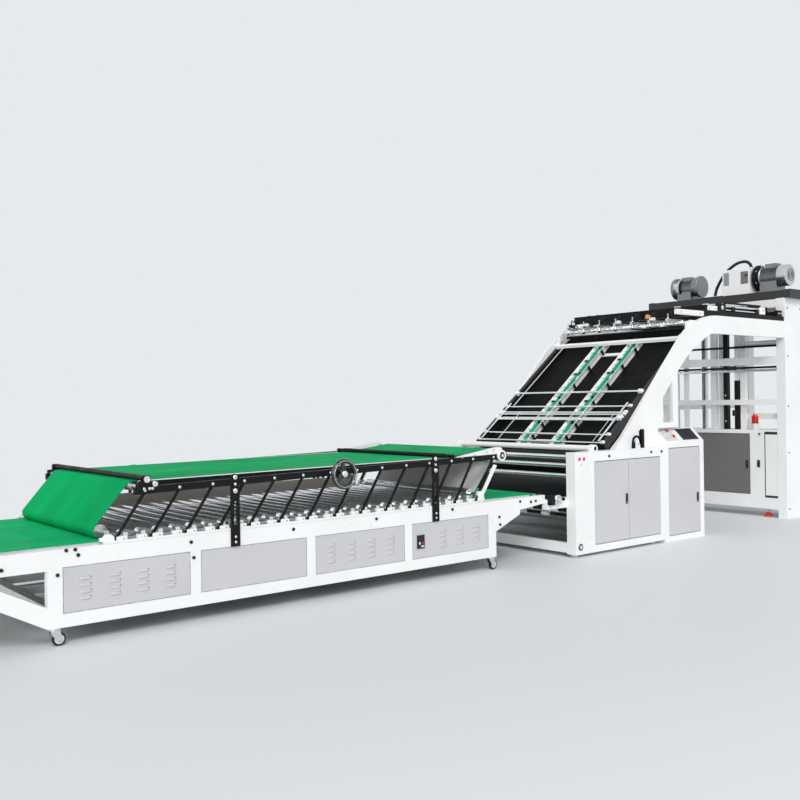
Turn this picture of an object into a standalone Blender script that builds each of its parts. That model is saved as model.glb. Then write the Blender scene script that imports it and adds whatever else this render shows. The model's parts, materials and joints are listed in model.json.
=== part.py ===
"""Flute laminating machine, in metres, +Z up.

The line runs along X: delivery press on the left, gluing unit in the middle, sheet feeder
tower on the right. The operator side faces -Y. The origin is on the floor, under the middle
of the machine.
"""

import math

import bmesh
import bpy
from mathutils import Matrix, Vector

# General fits
FIT = 0.0003
BELT_T = 0.006
CUT_OVER = 0.01
SEAT = 0.01
DOOR_GAP = 0.007
PIN_R = 0.0035
PIN_INSET = 0.004
DOOR_T = 0.018

# The line from left to right
LEFT_OVERHANG = 0.68
PRESS_LENGTH = 4.144
RIGHT_OVERHANG = 0.68
UNIT_GAP = 0.296
UNIT_LENGTH = 1.49
CONTROL_LENGTH = 0.75
PILE_BAY = 1.99
TOWER_LENGTH = 2.5
LINE_LENGTH = (LEFT_OVERHANG + PRESS_LENGTH + RIGHT_OVERHANG + UNIT_GAP + UNIT_LENGTH
               + CONTROL_LENGTH + PILE_BAY + TOWER_LENGTH)

LINE_LEFT = -LINE_LENGTH / 2
PRESS_LEFT = LINE_LEFT + LEFT_OVERHANG
PRESS_RIGHT = PRESS_LEFT + PRESS_LENGTH
OVERHANG_TIP = PRESS_RIGHT + RIGHT_OVERHANG
UNIT_LEFT = OVERHANG_TIP + UNIT_GAP
UNIT_RIGHT = UNIT_LEFT + UNIT_LENGTH
CONTROL_RIGHT = UNIT_RIGHT + CONTROL_LENGTH
TOWER_LEFT = CONTROL_RIGHT + PILE_BAY
TOWER_RIGHT = TOWER_LEFT + TOWER_LENGTH

# Delivery press: side frames
PRESS_HALF = 0.94
FRAME_T = 0.06
FRAME_INNER = PRESS_HALF - FRAME_T
FRAME_BOTTOM = 0.12
FRAME_TOP = 0.64
POST_W = 0.10
MULLION_W = 0.083
RAIL_BOTTOM_H = 0.09
RAIL_TOP_H = 0.12
PANEL_COUNT = 4
PANEL_T = 0.015
PANEL_RECESS = 0.004
PANEL_FLANGE = 0.02
LEFT_TIP_H = 0.15
LEFT_WINDOW_L = 0.42
LEFT_WINDOW_TOP = 0.505
LEFT_WINDOW_TIP = 0.48
LEFT_WINDOW_LOW = 0.26
TIP_TOP = 0.645
TIP_BOTTOM = 0.566
GUSSET_OUT = 0.326
GUSSET_ROOT = 0.353
GUSSET_TOP = 0.489
GUSSET_STEP = 0.04
CROSS_W = 0.08
CROSS_H = 0.07
CROSS_LIFT = 0.01
CROSS_COUNT = 5
SPINE_Y = 0.27

# Delivery press: belts and rollers
BELT_SIDE_GAP = 0.015
LOWER_BELT_HALF = FRAME_INNER - BELT_SIDE_GAP
LOWER_BELT_TOP = 0.66
LOWER_ROLLER_R = 0.05
LOWER_ROLLER_INSET = 0.075
SHAFT_R = 0.018
BED_T = 0.03
BED_END_GAP = 0.03
UPPER_BELT_INSET = 0.165
UPPER_BELT_HALF = PRESS_HALF - UPPER_BELT_INSET
UPPER_BELT_FOOT = 0.308
UPPER_BELT_HEAD = 0.635
UPPER_BELT_TOP = 1.048
UPPER_BELT_DIP = 3.65
UPPER_BELT_DIP_Z = 1.061
UPPER_BELT_END = 4.36
UPPER_BELT_END_Z = 1.141
UPPER_BELT_HEEL = 3.98
FOOT_ROLLER_R = 0.047
NOSE_ROLLER_R = 0.032
END_ROLLER_R = 0.057
GUIDE_BAR_R = 0.02
GUIDE_BAR_SHIFT = 0.06
GUIDE_BAR_GAP = 0.003
GUIDE_BAR_STEP = 0.004
GUIDE_BLOCK_W = 0.06
GUIDE_BLOCK_OVER = 0.012
ROLLER_END_OVER = 0.01
PRESS_ROLLER_R = 0.025
PRESS_ROLLER_COUNT = 26
PRESS_ROLLER_FIRST = 0.55
PRESS_ROLLER_LAST = 3.82
BEARING_RAIL_T = 0.024
BEARING_RAIL_H = 0.012
BEARING_TOOTH_W = 0.034
BEARING_TOOTH_OVER = 0.014
FAR_PLATE_TOP = 0.80
PRESS_ROLLER_OVER = 0.025
ROLLER_FACE_HALF = UPPER_BELT_HALF + PRESS_ROLLER_OVER
ROLLER_SHAFT_R = 0.01
ARC_STEPS = 6

# Delivery press: upper side frames
UPPER_T = 0.035
UPPER_INNER = PRESS_HALF - UPPER_T
STRIP_H = 0.018
STRUT_COUNT = 14
STRUT_W = 0.032
STRUT_FIRST = 0.462
STRUT_LAST = 3.902
STRUT_LEAN = 0.221
TOP_RAIL_LEFT = 0.61
TOP_RAIL_RIGHT = 4.30
TOP_RAIL_LOW_LEFT = 0.962
TOP_RAIL_LOW_RIGHT = 1.03
TOP_RAIL_H = 0.052
HEEL_BRACKET_W = 0.07
HEEL_BRACKET_H = 0.11
ARM_W = 0.075
ARM_T = 0.012
ARM_FIRST = 1.39
ARM_LAST = 3.39
ARM_FIRST_TOP = 1.064
ARM_LAST_TOP = 1.10
ARM_BOTTOM = 0.52
ARM_SLOT_W = 0.024
ARM_SLOT_LOW = 0.16
ARM_SLOT_HIGH = 0.34
ARM_CORNER = 0.01
ARM_CROWN_FLAT = 0.002
BOLT_R = 0.012
BOLT_HEAD = 0.008
WHEEL_X = 2.347
WHEEL_Z = 1.008
WHEEL_R = 0.125
WHEEL_RIM_R = 0.014
WHEEL_OUT = 0.08
WHEEL_SHAFT_R = 0.014
WHEEL_SHAFT_GAP = 0.001
WHEEL_HUB_R = 0.03
WHEEL_HUB_L = 0.04
WHEEL_SPOKES = 5
WHEEL_SPOKE_R = 0.009
WHEEL_RIM_STEPS = 32
WHEEL_TUBE_STEPS = 8
BOSS_L = 0.032
BOSS_R = 0.025
BOSS_FLOOR = 0.004

# Casters
CASTER_WHEEL_R = 0.045
CASTER_WHEEL_W = 0.03
CASTER_BORE_R = 0.0085
CASTER_PIN_R = 0.008
CASTER_TRAIL = 0.028
CASTER_CHEEK_T = 0.004
CASTER_SIDE_GAP = 0.005
CASTER_DISC_R = 0.042
CASTER_DISC_T = 0.012
CASTER_FORK_HALF = 0.03
CASTER_FORK_BULGE = 0.006
CASTER_FORK_NECK = 0.03
CASTER_FORK_TIP = 0.014
CASTER_AXLE_SHY = 0.001
CASTER_WHEEL_CHAMFER = 0.004

# Gluing unit
UNIT_HALF = PRESS_HALF + 0.06
WALL_T = 0.04
WALL_INNER = UNIT_HALF - WALL_T
COVER_DEPTH = 0.076
COVER_FRONT = UNIT_HALF + COVER_DEPTH
UNIT_BOTTOM = 0.03
UNIT_TOP = 1.05
WALL_BACK = 0.38
WALL_STEP_Z = 1.25
ARCH_FOOT = 0.73
ARCH_KNEE = 2.215
ARCH_TOP = 2.545
ARCH_KNEE_R = 1.1
BEAM_H = 0.215
ARCH_INNER_FOOT = 1.88
ARCH_INNER_MID = 0.26
ARCH_INNER_MID_Z = 2.11
ARCH_INNER_END = 0.66
ARCH_INNER_R = 0.3
SLOT_LEFT = 0.097
SLOT_W = 0.18
SLOT_BOTTOM = 1.31
SLOT_TOP = 1.77
SLOT_SHOULDER = 1.59
FOOT_WINDOW_LEFT = 0.951
FOOT_WINDOW_W = 0.245
FOOT_WINDOW_BOTTOM = 1.07
FOOT_WINDOW_TOP = 1.255
FOOT_WINDOW_SHOULDER = 1.15
LINK_W = 0.04
LINK_BOTTOM = 0.50
LINK_TOP = 0.60
FOOT_R = 0.035
FOOT_T = 0.016
FOOT_STEM_R = 0.012
FOOT_LEFT_INSET = 0.09
FOOT_RIGHT_INSET = 0.12
ARCH_SHOULDER_R = 0.05
LINK_SEAT = 0.005
LINK_LAP = 0.05
DOOR_FIELD_LEFT = 0.30
DOOR_FIELD_MARGIN = 0.08
DOOR_FIELD_BOTTOM = 0.103
DOOR_FIELD_TOP = 0.95
HANDLE_W = 0.022
HANDLE_H = 0.104
HANDLE_OUT = 0.008
HANDLE_SEAT = 0.002
HANDLE_EDGE = 0.035
HANDLE_Z = 0.535
CONTROL_DEPTH = 0.176
CONTROL_TOP = 1.093
CONTROL_BACK_TOP = 1.24
CONTROL_LIP = 0.03
CONTROL_WALL = 0.012
CONTROL_FIELD_SIDE = 0.075
CONTROL_FIELD_BOTTOM = 0.06
CONTROL_FIELD_TOP = 1.03
BASE_BEAM_W = 0.06
BASE_BEAM_H = 0.10
BASE_BEAM_Z = 0.044
BASE_RAIL_Y = 0.7
BASE_RAIL_SHY = 0.01
BASE_END_GAP = 0.01

TRAY_STEPS = 4
TRAY_STEP_L = 0.17
TRAY_STEP_H = 0.075
TRAY_T = 0.006

# Gluing unit: rollers
UNIT_ROLLER_END_GAP = 0.16
UNIT_ROLLER_HALF = WALL_INNER - UNIT_ROLLER_END_GAP
GLUE_ROLLER_R = 0.14
GLUE_SHAFT_R = 0.035
GLUE_ROLLER_X = 0.42
GLUE_ROLLER_Z = 0.66
NIP_ROLLER_R = 0.10
NIP_SHAFT_R = 0.03
NIP_ROLLER_Z = 0.93
ENTRY_ROD_R = 0.022
ENTRY_ROD_X = 0.05
ENTRY_ROD_HEIGHTS = (0.81, 0.915, 1.0)
ENTRY_PLATE_T = 0.012
ENTRY_PLATE_W = 0.16
ENTRY_PLATE_LEAD = 0.04
ENTRY_PLATE_UNDER = 0.05
ENTRY_PLATE_OVER = 0.04
ENTRY_ROD_SEAT = 0.005

# Incline
SLOPE = math.radians(38.3)
INCLINE_FOOT_X = 0.60
INCLINE_FOOT_Z = 1.10
INCLINE_LENGTH = 1.93
BOARD_T = 0.025
BOARD_DROP = 0.075
CHANNEL_Y = 0.25
CHANNEL_W = 0.17
CHANNEL_H = 0.055
CHANNEL_T = 0.008
CHANNEL_FLOOR = 0.012
CHANNEL_BELT_W = 0.085
CHANNEL_BELT_T = 0.02
ROD_R = 0.011
SIDE_RAIL_W = 0.05
SIDE_RAIL_H = 0.078
TIE_W = 0.05
TIE_END_INSET = 0.23
TIE_PLACES = (0.08, INCLINE_LENGTH - TIE_END_INSET)
ROD_END_INSET = 0.09
ROD_PLACES = (0.03, 0.16, 0.42, 0.50, 0.535, 0.64, INCLINE_LENGTH - ROD_END_INSET)
CHANNEL_END_GAP = 0.02
STRAP_END_GAP = 0.03

# Feeder head
HEAD_AHEAD = 0.2154
HEAD_ABOVE = 0.1638
HEAD_X = INCLINE_FOOT_X + INCLINE_LENGTH * math.cos(SLOPE) + HEAD_AHEAD
HEAD_Z = INCLINE_FOOT_Z + INCLINE_LENGTH * math.sin(SLOPE) + HEAD_ABOVE
HEAD_BAR_R = 0.022
HEAD_ARMS = 7
HEAD_ARM_L = 0.30
HEAD_ARM_TAIL = 0.05
HEAD_ARM_W = 0.03
HEAD_ARM_LOW = 0.003
HEAD_ARM_HIGH = 0.04
HEAD_ARM_MARGIN = 0.21
SUCKER_R = 0.011
SUCKER_INSET = 0.03
SUCKER_DROP = 0.06
SUCKER_RISE = 0.05

# Feeder carriage
CARRIAGE_LEFT = 2.42
CARRIAGE_END_GAP = 0.02
CARRIAGE_SIDE_SHY = 0.002
CARRIAGE_RAIL_W = 0.06
CARRIAGE_RAIL_H = 0.055
CARRIAGE_BEAM_W = 0.06
CARRIAGE_BEAM_H = 0.12
CARRIAGE_DRIVE_H = 0.19
CARRIAGE_DRIVE_L = 0.38
CARRIAGE_DRIVE_W = 0.38
CARRIAGE_DRIVE_SIDE = 0.20
CARRIAGE_DRIVE_END = 0.04
CARRIAGE_SPINE_Y = (-0.10, 0.02)
CARRIAGE_SPINE_SHY = 0.02
CARRIAGE_LIFT = 0.005
CARRIAGE_BEAMS = (0.04, 0.36, 0.66, 0.95)

# Feeder tower
TOWER_HALF = UNIT_HALF
TOWER_SIDE_T = 0.12
TOWER_INNER = TOWER_HALF - TOWER_SIDE_T
TOWER_HEIGHT = 2.85
TOWER_FRONT_W = 0.45
TOWER_REAR_W = 0.16
TOWER_SILL_H = 0.16
TOWER_MID_Z = 1.40
TOWER_MID_H = 0.10
TOWER_HEAD_H = 0.20
DECK_T = 0.10
DECK_SIDE_OVER = 0.08
TOWER_BOX_DEPTH = 0.50
TOWER_BOX_BOTTOM = 0.11
TOWER_BOX_TOP = 1.14
TOWER_BOX_WALL = 0.02
TOWER_DOOR_NEAR = -0.49
TOWER_DOOR_FAR = 0.34
TOWER_DOOR_BOTTOM = 0.285
TOWER_DOOR_TOP = 1.09
CROSS_BEAM_D = 0.08
TOP_BEAM = (TOWER_HEIGHT - 0.11, TOWER_HEIGHT - 0.01)
FRONT_BEAMS = ((1.47, 1.54), (2.0, 2.1), TOP_BEAM)
REAR_BEAMS = ((0.05, 0.20), TOP_BEAM)
HALF_BEAM = (1.28, 1.355)
HALF_BEAM_D = 0.04
TOWER_POST_X = 0.06
TOWER_POST_W = 0.05
TOWER_POSTS = (-0.27, -0.11, 0.22, 0.52)
TOWER_POST_SEAT = 0.02
HALF_BEAM_LAP = 0.012
TOWER_TUBE_R = 0.038
TOWER_TUBE_Z = 2.28
BEACON_X = 0.05
BEACON_Y = -0.54
BEACON_PROFILE = ((0.0, 0.21), (0.022, 0.205), (0.036, 0.18), (0.039, 0.10), (0.045, 0.10),
                  (0.045, 0.0), (0.0, 0.0))

# Machines on the deck
DECK_MACHINE_X = 0.2
BLOWER_L = 0.45
BLOWER_R = 0.14
BLOWER_Y = 0.02
DRIVE_MOTOR_L = 0.42
DRIVE_MOTOR_R = 0.125
DRIVE_MOTOR_GAP = 0.42
MOTOR_LIFT = 1.5
MOTOR_COVER = 0.26
MOTOR_PROFILE = ((0.0, 0.0), (0.72, 0.0), (0.96, 0.04), (1.0, MOTOR_COVER), (0.86, MOTOR_COVER),
                 (0.86, 0.80), (0.98, 0.84), (0.98, 0.90), (1.22, 0.90), (1.22, 1.0), (0.0, 1.0))
MOTOR_FOOT = (0.8, 0.30, 0.82, -0.4)
MOTOR_BOX = (0.5, 0.36, 0.70, 0.6, 1.2)
PUMP_X = 0.03
PUMP_L = 0.37
PUMP_Y = 0.50
PUMP_W = 0.40
PUMP_H = 0.34
HOSE_R = 0.02
HOSE_ROUTE = ((0.22, FIT), (0.22, 0.04), (0.18, 0.16), (0.06, 0.33), (-0.10, 0.44),
              (-0.24, 0.46), (-0.31, 0.42), (-0.33, 0.37), (-0.33, PUMP_H + FIT))


def clear_scene():
    for obj in list(bpy.data.objects):
        bpy.data.objects.remove(obj, do_unlink=True)


def new_collection(name):
    collection = bpy.data.collections.new(name)
    bpy.context.scene.collection.children.link(collection)
    return collection


clear_scene()
PARTS = new_collection("flute_laminating_machine")
HELPERS = new_collection("cutters")


def paint(name, colour, roughness, metallic=0.0):
    material = bpy.data.materials.new(name)
    material.use_nodes = True
    shader = material.node_tree.nodes["Principled BSDF"]
    shader.inputs["Base Color"].default_value = (*colour, 1.0)
    shader.inputs["Roughness"].default_value = roughness
    shader.inputs["Metallic"].default_value = metallic
    return material


WHITE = ((0.86, 0.87, 0.88), 0.4)
GREY = ((0.60, 0.60, 0.62), 0.5)
DARK = ((0.16, 0.16, 0.16), 0.5)
BLACK = ((0.02, 0.02, 0.02), 0.45)
GREEN = ((0.01, 0.40, 0.15), 0.6)
STEEL = ((0.62, 0.63, 0.65), 0.25, 1.0)
RUBBER = ((0.05, 0.05, 0.05), 0.8)
RED = ((0.60, 0.03, 0.02), 0.4)


def dress(obj, finish):
    obj.data.materials.clear()
    obj.data.materials.append(paint(obj.name, *finish))
    return obj


def link(name, data, location=(0, 0, 0)):
    obj = bpy.data.objects.new(name, data)
    obj.location = location
    PARTS.objects.link(obj)
    return obj


def from_bmesh(name, bm, location=(0, 0, 0)):
    mesh = bpy.data.meshes.new(name)
    bm.to_mesh(mesh)
    bm.free()
    return link(name, mesh, location)


def smooth(obj):
    obj.data.shade_smooth()
    obj.data.set_sharp_from_angle(angle=math.radians(35))
    return obj


def box(name, low, high):
    low = Vector(low)
    high = Vector(high)
    bm = bmesh.new()
    bmesh.ops.create_cube(bm, size=1.0, matrix=Matrix.Diagonal((*(high - low), 1.0)))
    return from_bmesh(name, bm, (low + high) / 2)


def cylinder(name, start, end, radius, sides=20):
    start = Vector(start)
    end = Vector(end)
    bm = bmesh.new()
    bmesh.ops.create_cone(bm, cap_ends=True, segments=sides, radius1=radius, radius2=radius,
                          depth=(end - start).length)
    obj = from_bmesh(name, bm, (start + end) / 2)
    obj.rotation_euler = (end - start).to_track_quat("Z", "Y").to_euler()
    return smooth(obj)


def outline_curve(name, loops, depth):
    """A flat curve with holes, laid round the first corner of its first loop."""
    first_u, first_v = loops[0][0]
    curve = bpy.data.curves.new(name, "CURVE")
    curve.dimensions = "2D"
    curve.fill_mode = "BOTH"
    curve.extrude = depth / 2
    for loop in loops:
        spline = curve.splines.new("POLY")
        spline.points.add(len(loop) - 1)
        for point, (u, v) in zip(spline.points, loop):
            point.co = (u - first_u, v - first_v, 0.0, 1.0)
        spline.use_cyclic_u = True
    return link(name, curve), first_u, first_v


def side_plate(name, loops, y_low, y_high):
    """A flat outline in X and Z, as thick as the span in Y."""
    obj, x, z = outline_curve(name, loops, y_high - y_low)
    obj.location = (x, (y_low + y_high) / 2, z)
    obj.rotation_euler = (math.radians(90), 0, 0)
    return as_mesh(obj)


def cross_plate(name, loops, x_low, x_high):
    """A flat outline in Y and Z, as thick as the span in X."""
    obj, y, z = outline_curve(name, loops, x_high - x_low)
    obj.location = ((x_low + x_high) / 2, y, z)
    obj.rotation_euler = (math.radians(90), 0, math.radians(90))
    return as_mesh(obj)


def as_mesh(obj):
    bpy.context.view_layer.update()
    name = obj.name
    world = obj.matrix_world.copy()
    source = obj.evaluated_get(bpy.context.evaluated_depsgraph_get())
    mesh = bpy.data.meshes.new_from_object(source)
    bpy.data.objects.remove(obj, do_unlink=True)
    bm = bmesh.new()
    bm.from_mesh(mesh)
    bmesh.ops.remove_doubles(bm, verts=bm.verts, dist=0.00001)
    bmesh.ops.recalc_face_normals(bm, faces=bm.faces)
    bm.to_mesh(mesh)
    bm.free()
    solid = link(name, mesh)
    solid.matrix_world = world
    return solid


def helper(obj):
    PARTS.objects.unlink(obj)
    HELPERS.objects.link(obj)
    obj.name = "cutter_" + obj.name
    obj.hide_render = True
    obj.display_type = "WIRE"
    return obj


def boolean(obj, other, operation):
    modifier = obj.modifiers.new(other.name, "BOOLEAN")
    modifier.operation = operation
    modifier.solver = "EXACT"
    modifier.object = helper(other)
    return obj


def join(obj, *others):
    for other in others:
        boolean(obj, other, "UNION")
    return obj


def cut(obj, *others):
    for other in others:
        boolean(obj, other, "DIFFERENCE")
    return obj


def turned(name, profile, location, axis="Y", sides=32):
    """A closed profile of radius and height, turned round its own axis."""
    mesh = bpy.data.meshes.new(name)
    verts = [(radius, 0.0, height) for radius, height in profile]
    count = len(verts)
    mesh.from_pydata(verts, [(i, (i + 1) % count) for i in range(count)], [])
    obj = link(name, mesh, location)
    screw = obj.modifiers.new("turn", "SCREW")
    screw.axis = "Z"
    screw.steps = sides
    screw.render_steps = sides
    screw.use_merge_vertices = True
    screw.merge_threshold = 0.0001
    screw.use_normal_calculate = True
    if axis == "Y":
        obj.rotation_euler = (math.radians(90), 0, 0)
    if axis == "X":
        obj.rotation_euler = (0, math.radians(90), 0)
    return obj


def empty(name, location):
    pivot = bpy.data.objects.new(name, None)
    pivot.location = location
    PARTS.objects.link(pivot)
    return pivot


def attach(obj, pivot):
    obj.parent = pivot
    obj.location = obj.location - pivot.location
    return obj


def corner_arc(before, corner, after, radius, steps=ARC_STEPS):
    """The points of a round corner, and the centre of the round."""
    before = Vector(before)
    corner = Vector(corner)
    after = Vector(after)
    back = (before - corner).normalized()
    ahead = (after - corner).normalized()
    half = back.angle(ahead) / 2
    centre = corner + (back + ahead).normalized() * (radius / math.sin(half))
    start = corner + back * (radius / math.tan(half)) - centre
    finish = corner + ahead * (radius / math.tan(half)) - centre
    turn = start.angle_signed(finish)
    points = []
    for step in range(steps + 1):
        spoke = start.copy()
        spoke.rotate(Matrix.Rotation(-turn * step / steps, 2))
        points.append(centre + spoke)
    return points, centre


def rounded_outline(corners, steps=ARC_STEPS):
    """A closed outline from (x, z, radius) corners, with each arc's centre."""
    points = []
    centres = []
    count = len(corners)
    for index, (x, z, radius) in enumerate(corners):
        if radius == 0:
            points.append(Vector((x, z)))
            centres.append(None)
            continue
        before = corners[index - 1][:2]
        after = corners[(index + 1) % count][:2]
        arc, centre = corner_arc(before, (x, z), after, radius, steps)
        points.extend(arc)
        centres.append(centre)
    return points, centres


def offset_loop(points, distance):
    """The closed outline moved sideways by a distance, to its left."""
    moved = []
    count = len(points)
    for index, point in enumerate(points):
        back = (point - points[index - 1]).normalized()
        ahead = (points[(index + 1) % count] - point).normalized()
        normal_back = Vector((-back.y, back.x))
        normal_ahead = Vector((-ahead.y, ahead.x))
        middle = (normal_back + normal_ahead).normalized()
        moved.append(point + middle * (distance / middle.dot(normal_back)))
    return moved


def rectangle(x_low, z_low, x_high, z_high):
    return [(x_low, z_low), (x_high, z_low), (x_high, z_high), (x_low, z_high)]


def both_sides(build):
    """Calls a builder for the operator side and for the far side."""
    for side, label in ((-1, "near"), (1, "far")):
        build(side, label)


def span(side, inner, outer):
    """The Y interval between two distances from the middle, on one side."""
    return (side * outer, side * inner) if side < 0 else (inner, outer)


# Delivery press

FIELD_W = (PRESS_LENGTH - 2 * POST_W - (PANEL_COUNT - 1) * MULLION_W) / PANEL_COUNT
FIELD_LOW = FRAME_BOTTOM + RAIL_BOTTOM_H
FIELD_HIGH = FRAME_TOP - RAIL_TOP_H


def panel_fields():
    pitch = FIELD_W + MULLION_W
    for index in range(PANEL_COUNT):
        left = PRESS_LEFT + POST_W + index * pitch
        yield index, left, left + FIELD_W


def press_frame(side, label):
    outer = [
        (LINE_LEFT, FRAME_TOP), (LINE_LEFT, FRAME_TOP - LEFT_TIP_H),
        (PRESS_LEFT, FRAME_BOTTOM), (PRESS_RIGHT, FRAME_BOTTOM),
        (PRESS_RIGHT, GUSSET_ROOT), (PRESS_RIGHT + GUSSET_OUT, GUSSET_TOP),
        (PRESS_RIGHT + GUSSET_OUT, GUSSET_TOP + GUSSET_STEP),
        (OVERHANG_TIP, TIP_BOTTOM), (OVERHANG_TIP, TIP_TOP), (PRESS_RIGHT, FRAME_TOP),
    ]
    loops = [outer]
    for _, left, right in panel_fields():
        loops.append(rectangle(left, FIELD_LOW, right, FIELD_HIGH))
    window_left = PRESS_LEFT - LEFT_WINDOW_L
    loops.append([(window_left, LEFT_WINDOW_TIP), (PRESS_LEFT, LEFT_WINDOW_LOW),
                  (PRESS_LEFT, LEFT_WINDOW_TOP), (window_left, LEFT_WINDOW_TOP)])
    y_low, y_high = span(side, FRAME_INNER, PRESS_HALF)
    dress(side_plate("press_frame_" + label, loops, y_low, y_high), WHITE)


both_sides(press_frame)


def press_panels(side, label):
    """One sheet behind the side frame, pressed out into its four fields."""
    low, high = FIELD_LOW - PANEL_FLANGE, FIELD_HIGH + PANEL_FLANGE
    y_low, y_high = span(side, FRAME_INNER - PANEL_T - FIT, FRAME_INNER - FIT)
    sheet = box("press_panels_" + label, (PRESS_LEFT + POST_W / 2, y_low, low),
                (PRESS_RIGHT - POST_W / 2, y_high, high))
    fields = []
    y_low, y_high = span(side, FRAME_INNER - PANEL_T / 2, PRESS_HALF - PANEL_RECESS)
    for index, left, right in panel_fields():
        fields.append(box(f"field_{label}_{index}", (left + FIT, y_low, FIELD_LOW + FIT),
                          (right - FIT, y_high, FIELD_HIGH - FIT)))
    dress(join(sheet, *fields), GREY)


both_sides(press_panels)


def press_bed():
    """Sliding plate under the belt, on cross beams and posts between the side frames."""
    plate_top = LOWER_BELT_TOP - BELT_T - FIT
    left = LINE_LEFT + LOWER_ROLLER_INSET + LOWER_ROLLER_R + BED_END_GAP
    right = OVERHANG_TIP - LOWER_ROLLER_INSET - LOWER_ROLLER_R - BED_END_GAP
    plate = box("lower_belt_bed", (left, -FRAME_INNER + FIT, plate_top - BED_T),
                (right, FRAME_INNER - FIT, plate_top))
    dress(plate, STEEL)
    rail_low = FRAME_BOTTOM + CROSS_LIFT
    rail_high = rail_low + CROSS_H
    first = PRESS_LEFT + POST_W
    last = PRESS_RIGHT - POST_W - CROSS_W
    spines = []
    for side, name in ((-1, "press_crossmembers"), (1, "spine_far")):
        y_low, y_high = span(side, SPINE_Y, SPINE_Y + CROSS_W)
        spines.append(box(name, (first, y_low, rail_low), (last + CROSS_W, y_high, rail_high)))
    beams = spines[1:]
    for index in range(CROSS_COUNT):
        x = first + (last - first) * index / (CROSS_COUNT - 1)
        reach = FRAME_INNER - PANEL_T - 2 * FIT
        beams.append(box(f"beam_{index}", (x, -reach, rail_low), (x + CROSS_W, reach, rail_high)))
    dress(join(spines[0], *beams), WHITE)


press_bed()

LOWER_CENTRE_Z = LOWER_BELT_TOP - BELT_T - LOWER_ROLLER_R - 2 * FIT


def wrap_radius(roller_r, turn):
    """Radius of a belt's middle line whose flats clear a roller through a turn."""
    return (roller_r + FIT) / math.cos(turn / ARC_STEPS / 2) + BELT_T / 2


def belt(name, stations, half_width, finish):
    """A closed belt round rollers at (x, z, roller radius), and the centres of its turns."""
    corners = []
    count = len(stations)
    for index, (x, z, roller_r) in enumerate(stations):
        here = Vector((x, z))
        back = Vector(stations[index - 1][:2]) - here
        ahead = Vector(stations[(index + 1) % count][:2]) - here
        corners.append((x, z, wrap_radius(roller_r, math.pi - back.angle(ahead))))
    path, centres = rounded_outline(corners)
    ring = [offset_loop(path, -BELT_T / 2), offset_loop(path, BELT_T / 2)]
    dress(side_plate(name, ring, -half_width, half_width), finish)
    return centres


def lower_belt():
    radius = wrap_radius(LOWER_ROLLER_R, math.pi / 2)
    left = LINE_LEFT + LOWER_ROLLER_INSET - radius
    right = OVERHANG_TIP - LOWER_ROLLER_INSET + radius
    top = LOWER_CENTRE_Z + radius
    bottom = LOWER_CENTRE_Z - radius - FIT
    stations = [(left, bottom), (right, bottom), (right, top), (left, top)]
    belt("lower_belt", [(x, z, LOWER_ROLLER_R) for x, z in stations], LOWER_BELT_HALF, GREEN)


lower_belt()


def lathe(name, profile, location, sides):
    """A solid turned from a profile of (radius, height) that starts and ends on its axis."""
    mesh = bpy.data.meshes.new(name)
    mesh.from_pydata([(radius, 0.0, height) for radius, height in profile],
                     [(i, i + 1) for i in range(len(profile) - 1)], [])
    obj = link(name, mesh, location)
    screw = obj.modifiers.new("turn", "SCREW")
    screw.axis = "Z"
    screw.steps = sides
    screw.render_steps = sides
    screw.use_merge_vertices = True
    screw.merge_threshold = 0.0001
    return obj


def roller(name, x, z, radius, face_half, reach, finish=STEEL, shaft=SHAFT_R, sides=24):
    """A roller across the line, with a shaft that reaches its carriers."""
    profile = [(0.0, reach), (shaft, reach), (shaft, face_half), (radius, face_half),
               (radius, -face_half), (shaft, -face_half), (shaft, -reach), (0.0, -reach)]
    obj = lathe(name, profile, (x, 0, z), sides)
    obj.rotation_euler = (math.radians(90), 0, 0)
    return dress(obj, finish)


def end_rollers():
    face = LOWER_BELT_HALF
    reach = FRAME_INNER - FIT
    radius = LOWER_ROLLER_R
    left = LINE_LEFT + LOWER_ROLLER_INSET
    right = OVERHANG_TIP - LOWER_ROLLER_INSET
    roller("lower_belt_roller_left", left, LOWER_CENTRE_Z, radius, face, reach)
    roller("lower_belt_roller_right", right, LOWER_CENTRE_Z, radius, face, reach)


end_rollers()

UPPER_RUN_Z = LOWER_BELT_TOP + FIT + BELT_T / 2


def upper_belt():
    left = LINE_LEFT + LEFT_OVERHANG
    corners = [
        (left + UPPER_BELT_FOOT, UPPER_RUN_Z, FOOT_ROLLER_R),
        (left + UPPER_BELT_HEEL, UPPER_RUN_Z, FOOT_ROLLER_R),
        (left + UPPER_BELT_END, UPPER_BELT_END_Z, END_ROLLER_R),
        (left + UPPER_BELT_DIP, UPPER_BELT_DIP_Z, GUIDE_BAR_R),
        (left + UPPER_BELT_HEAD, UPPER_BELT_TOP, NOSE_ROLLER_R),
    ]
    return belt("upper_belt", corners, UPPER_BELT_HALF, GREEN)


FOOT_CENTRE, HEEL_CENTRE, END_CENTRE, DIP_CENTRE, NOSE_CENTRE = upper_belt()


def upper_rollers():
    reach = UPPER_INNER - FIT
    face = UPPER_BELT_HALF + ROLLER_END_OVER
    roller("upper_roller_foot", *FOOT_CENTRE, FOOT_ROLLER_R, face, reach)
    roller("upper_roller_heel", *HEEL_CENTRE, FOOT_ROLLER_R, face, reach)
    roller("upper_roller_end", *END_CENTRE, END_ROLLER_R, face, reach)
    roller("upper_roller_nose", *NOSE_CENTRE, NOSE_ROLLER_R, face, reach)
    roller("guide_bar_right", *DIP_CENTRE, GUIDE_BAR_R, face, reach, BLACK,
           GUIDE_BAR_R - GUIDE_BAR_STEP)


upper_rollers()


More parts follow.
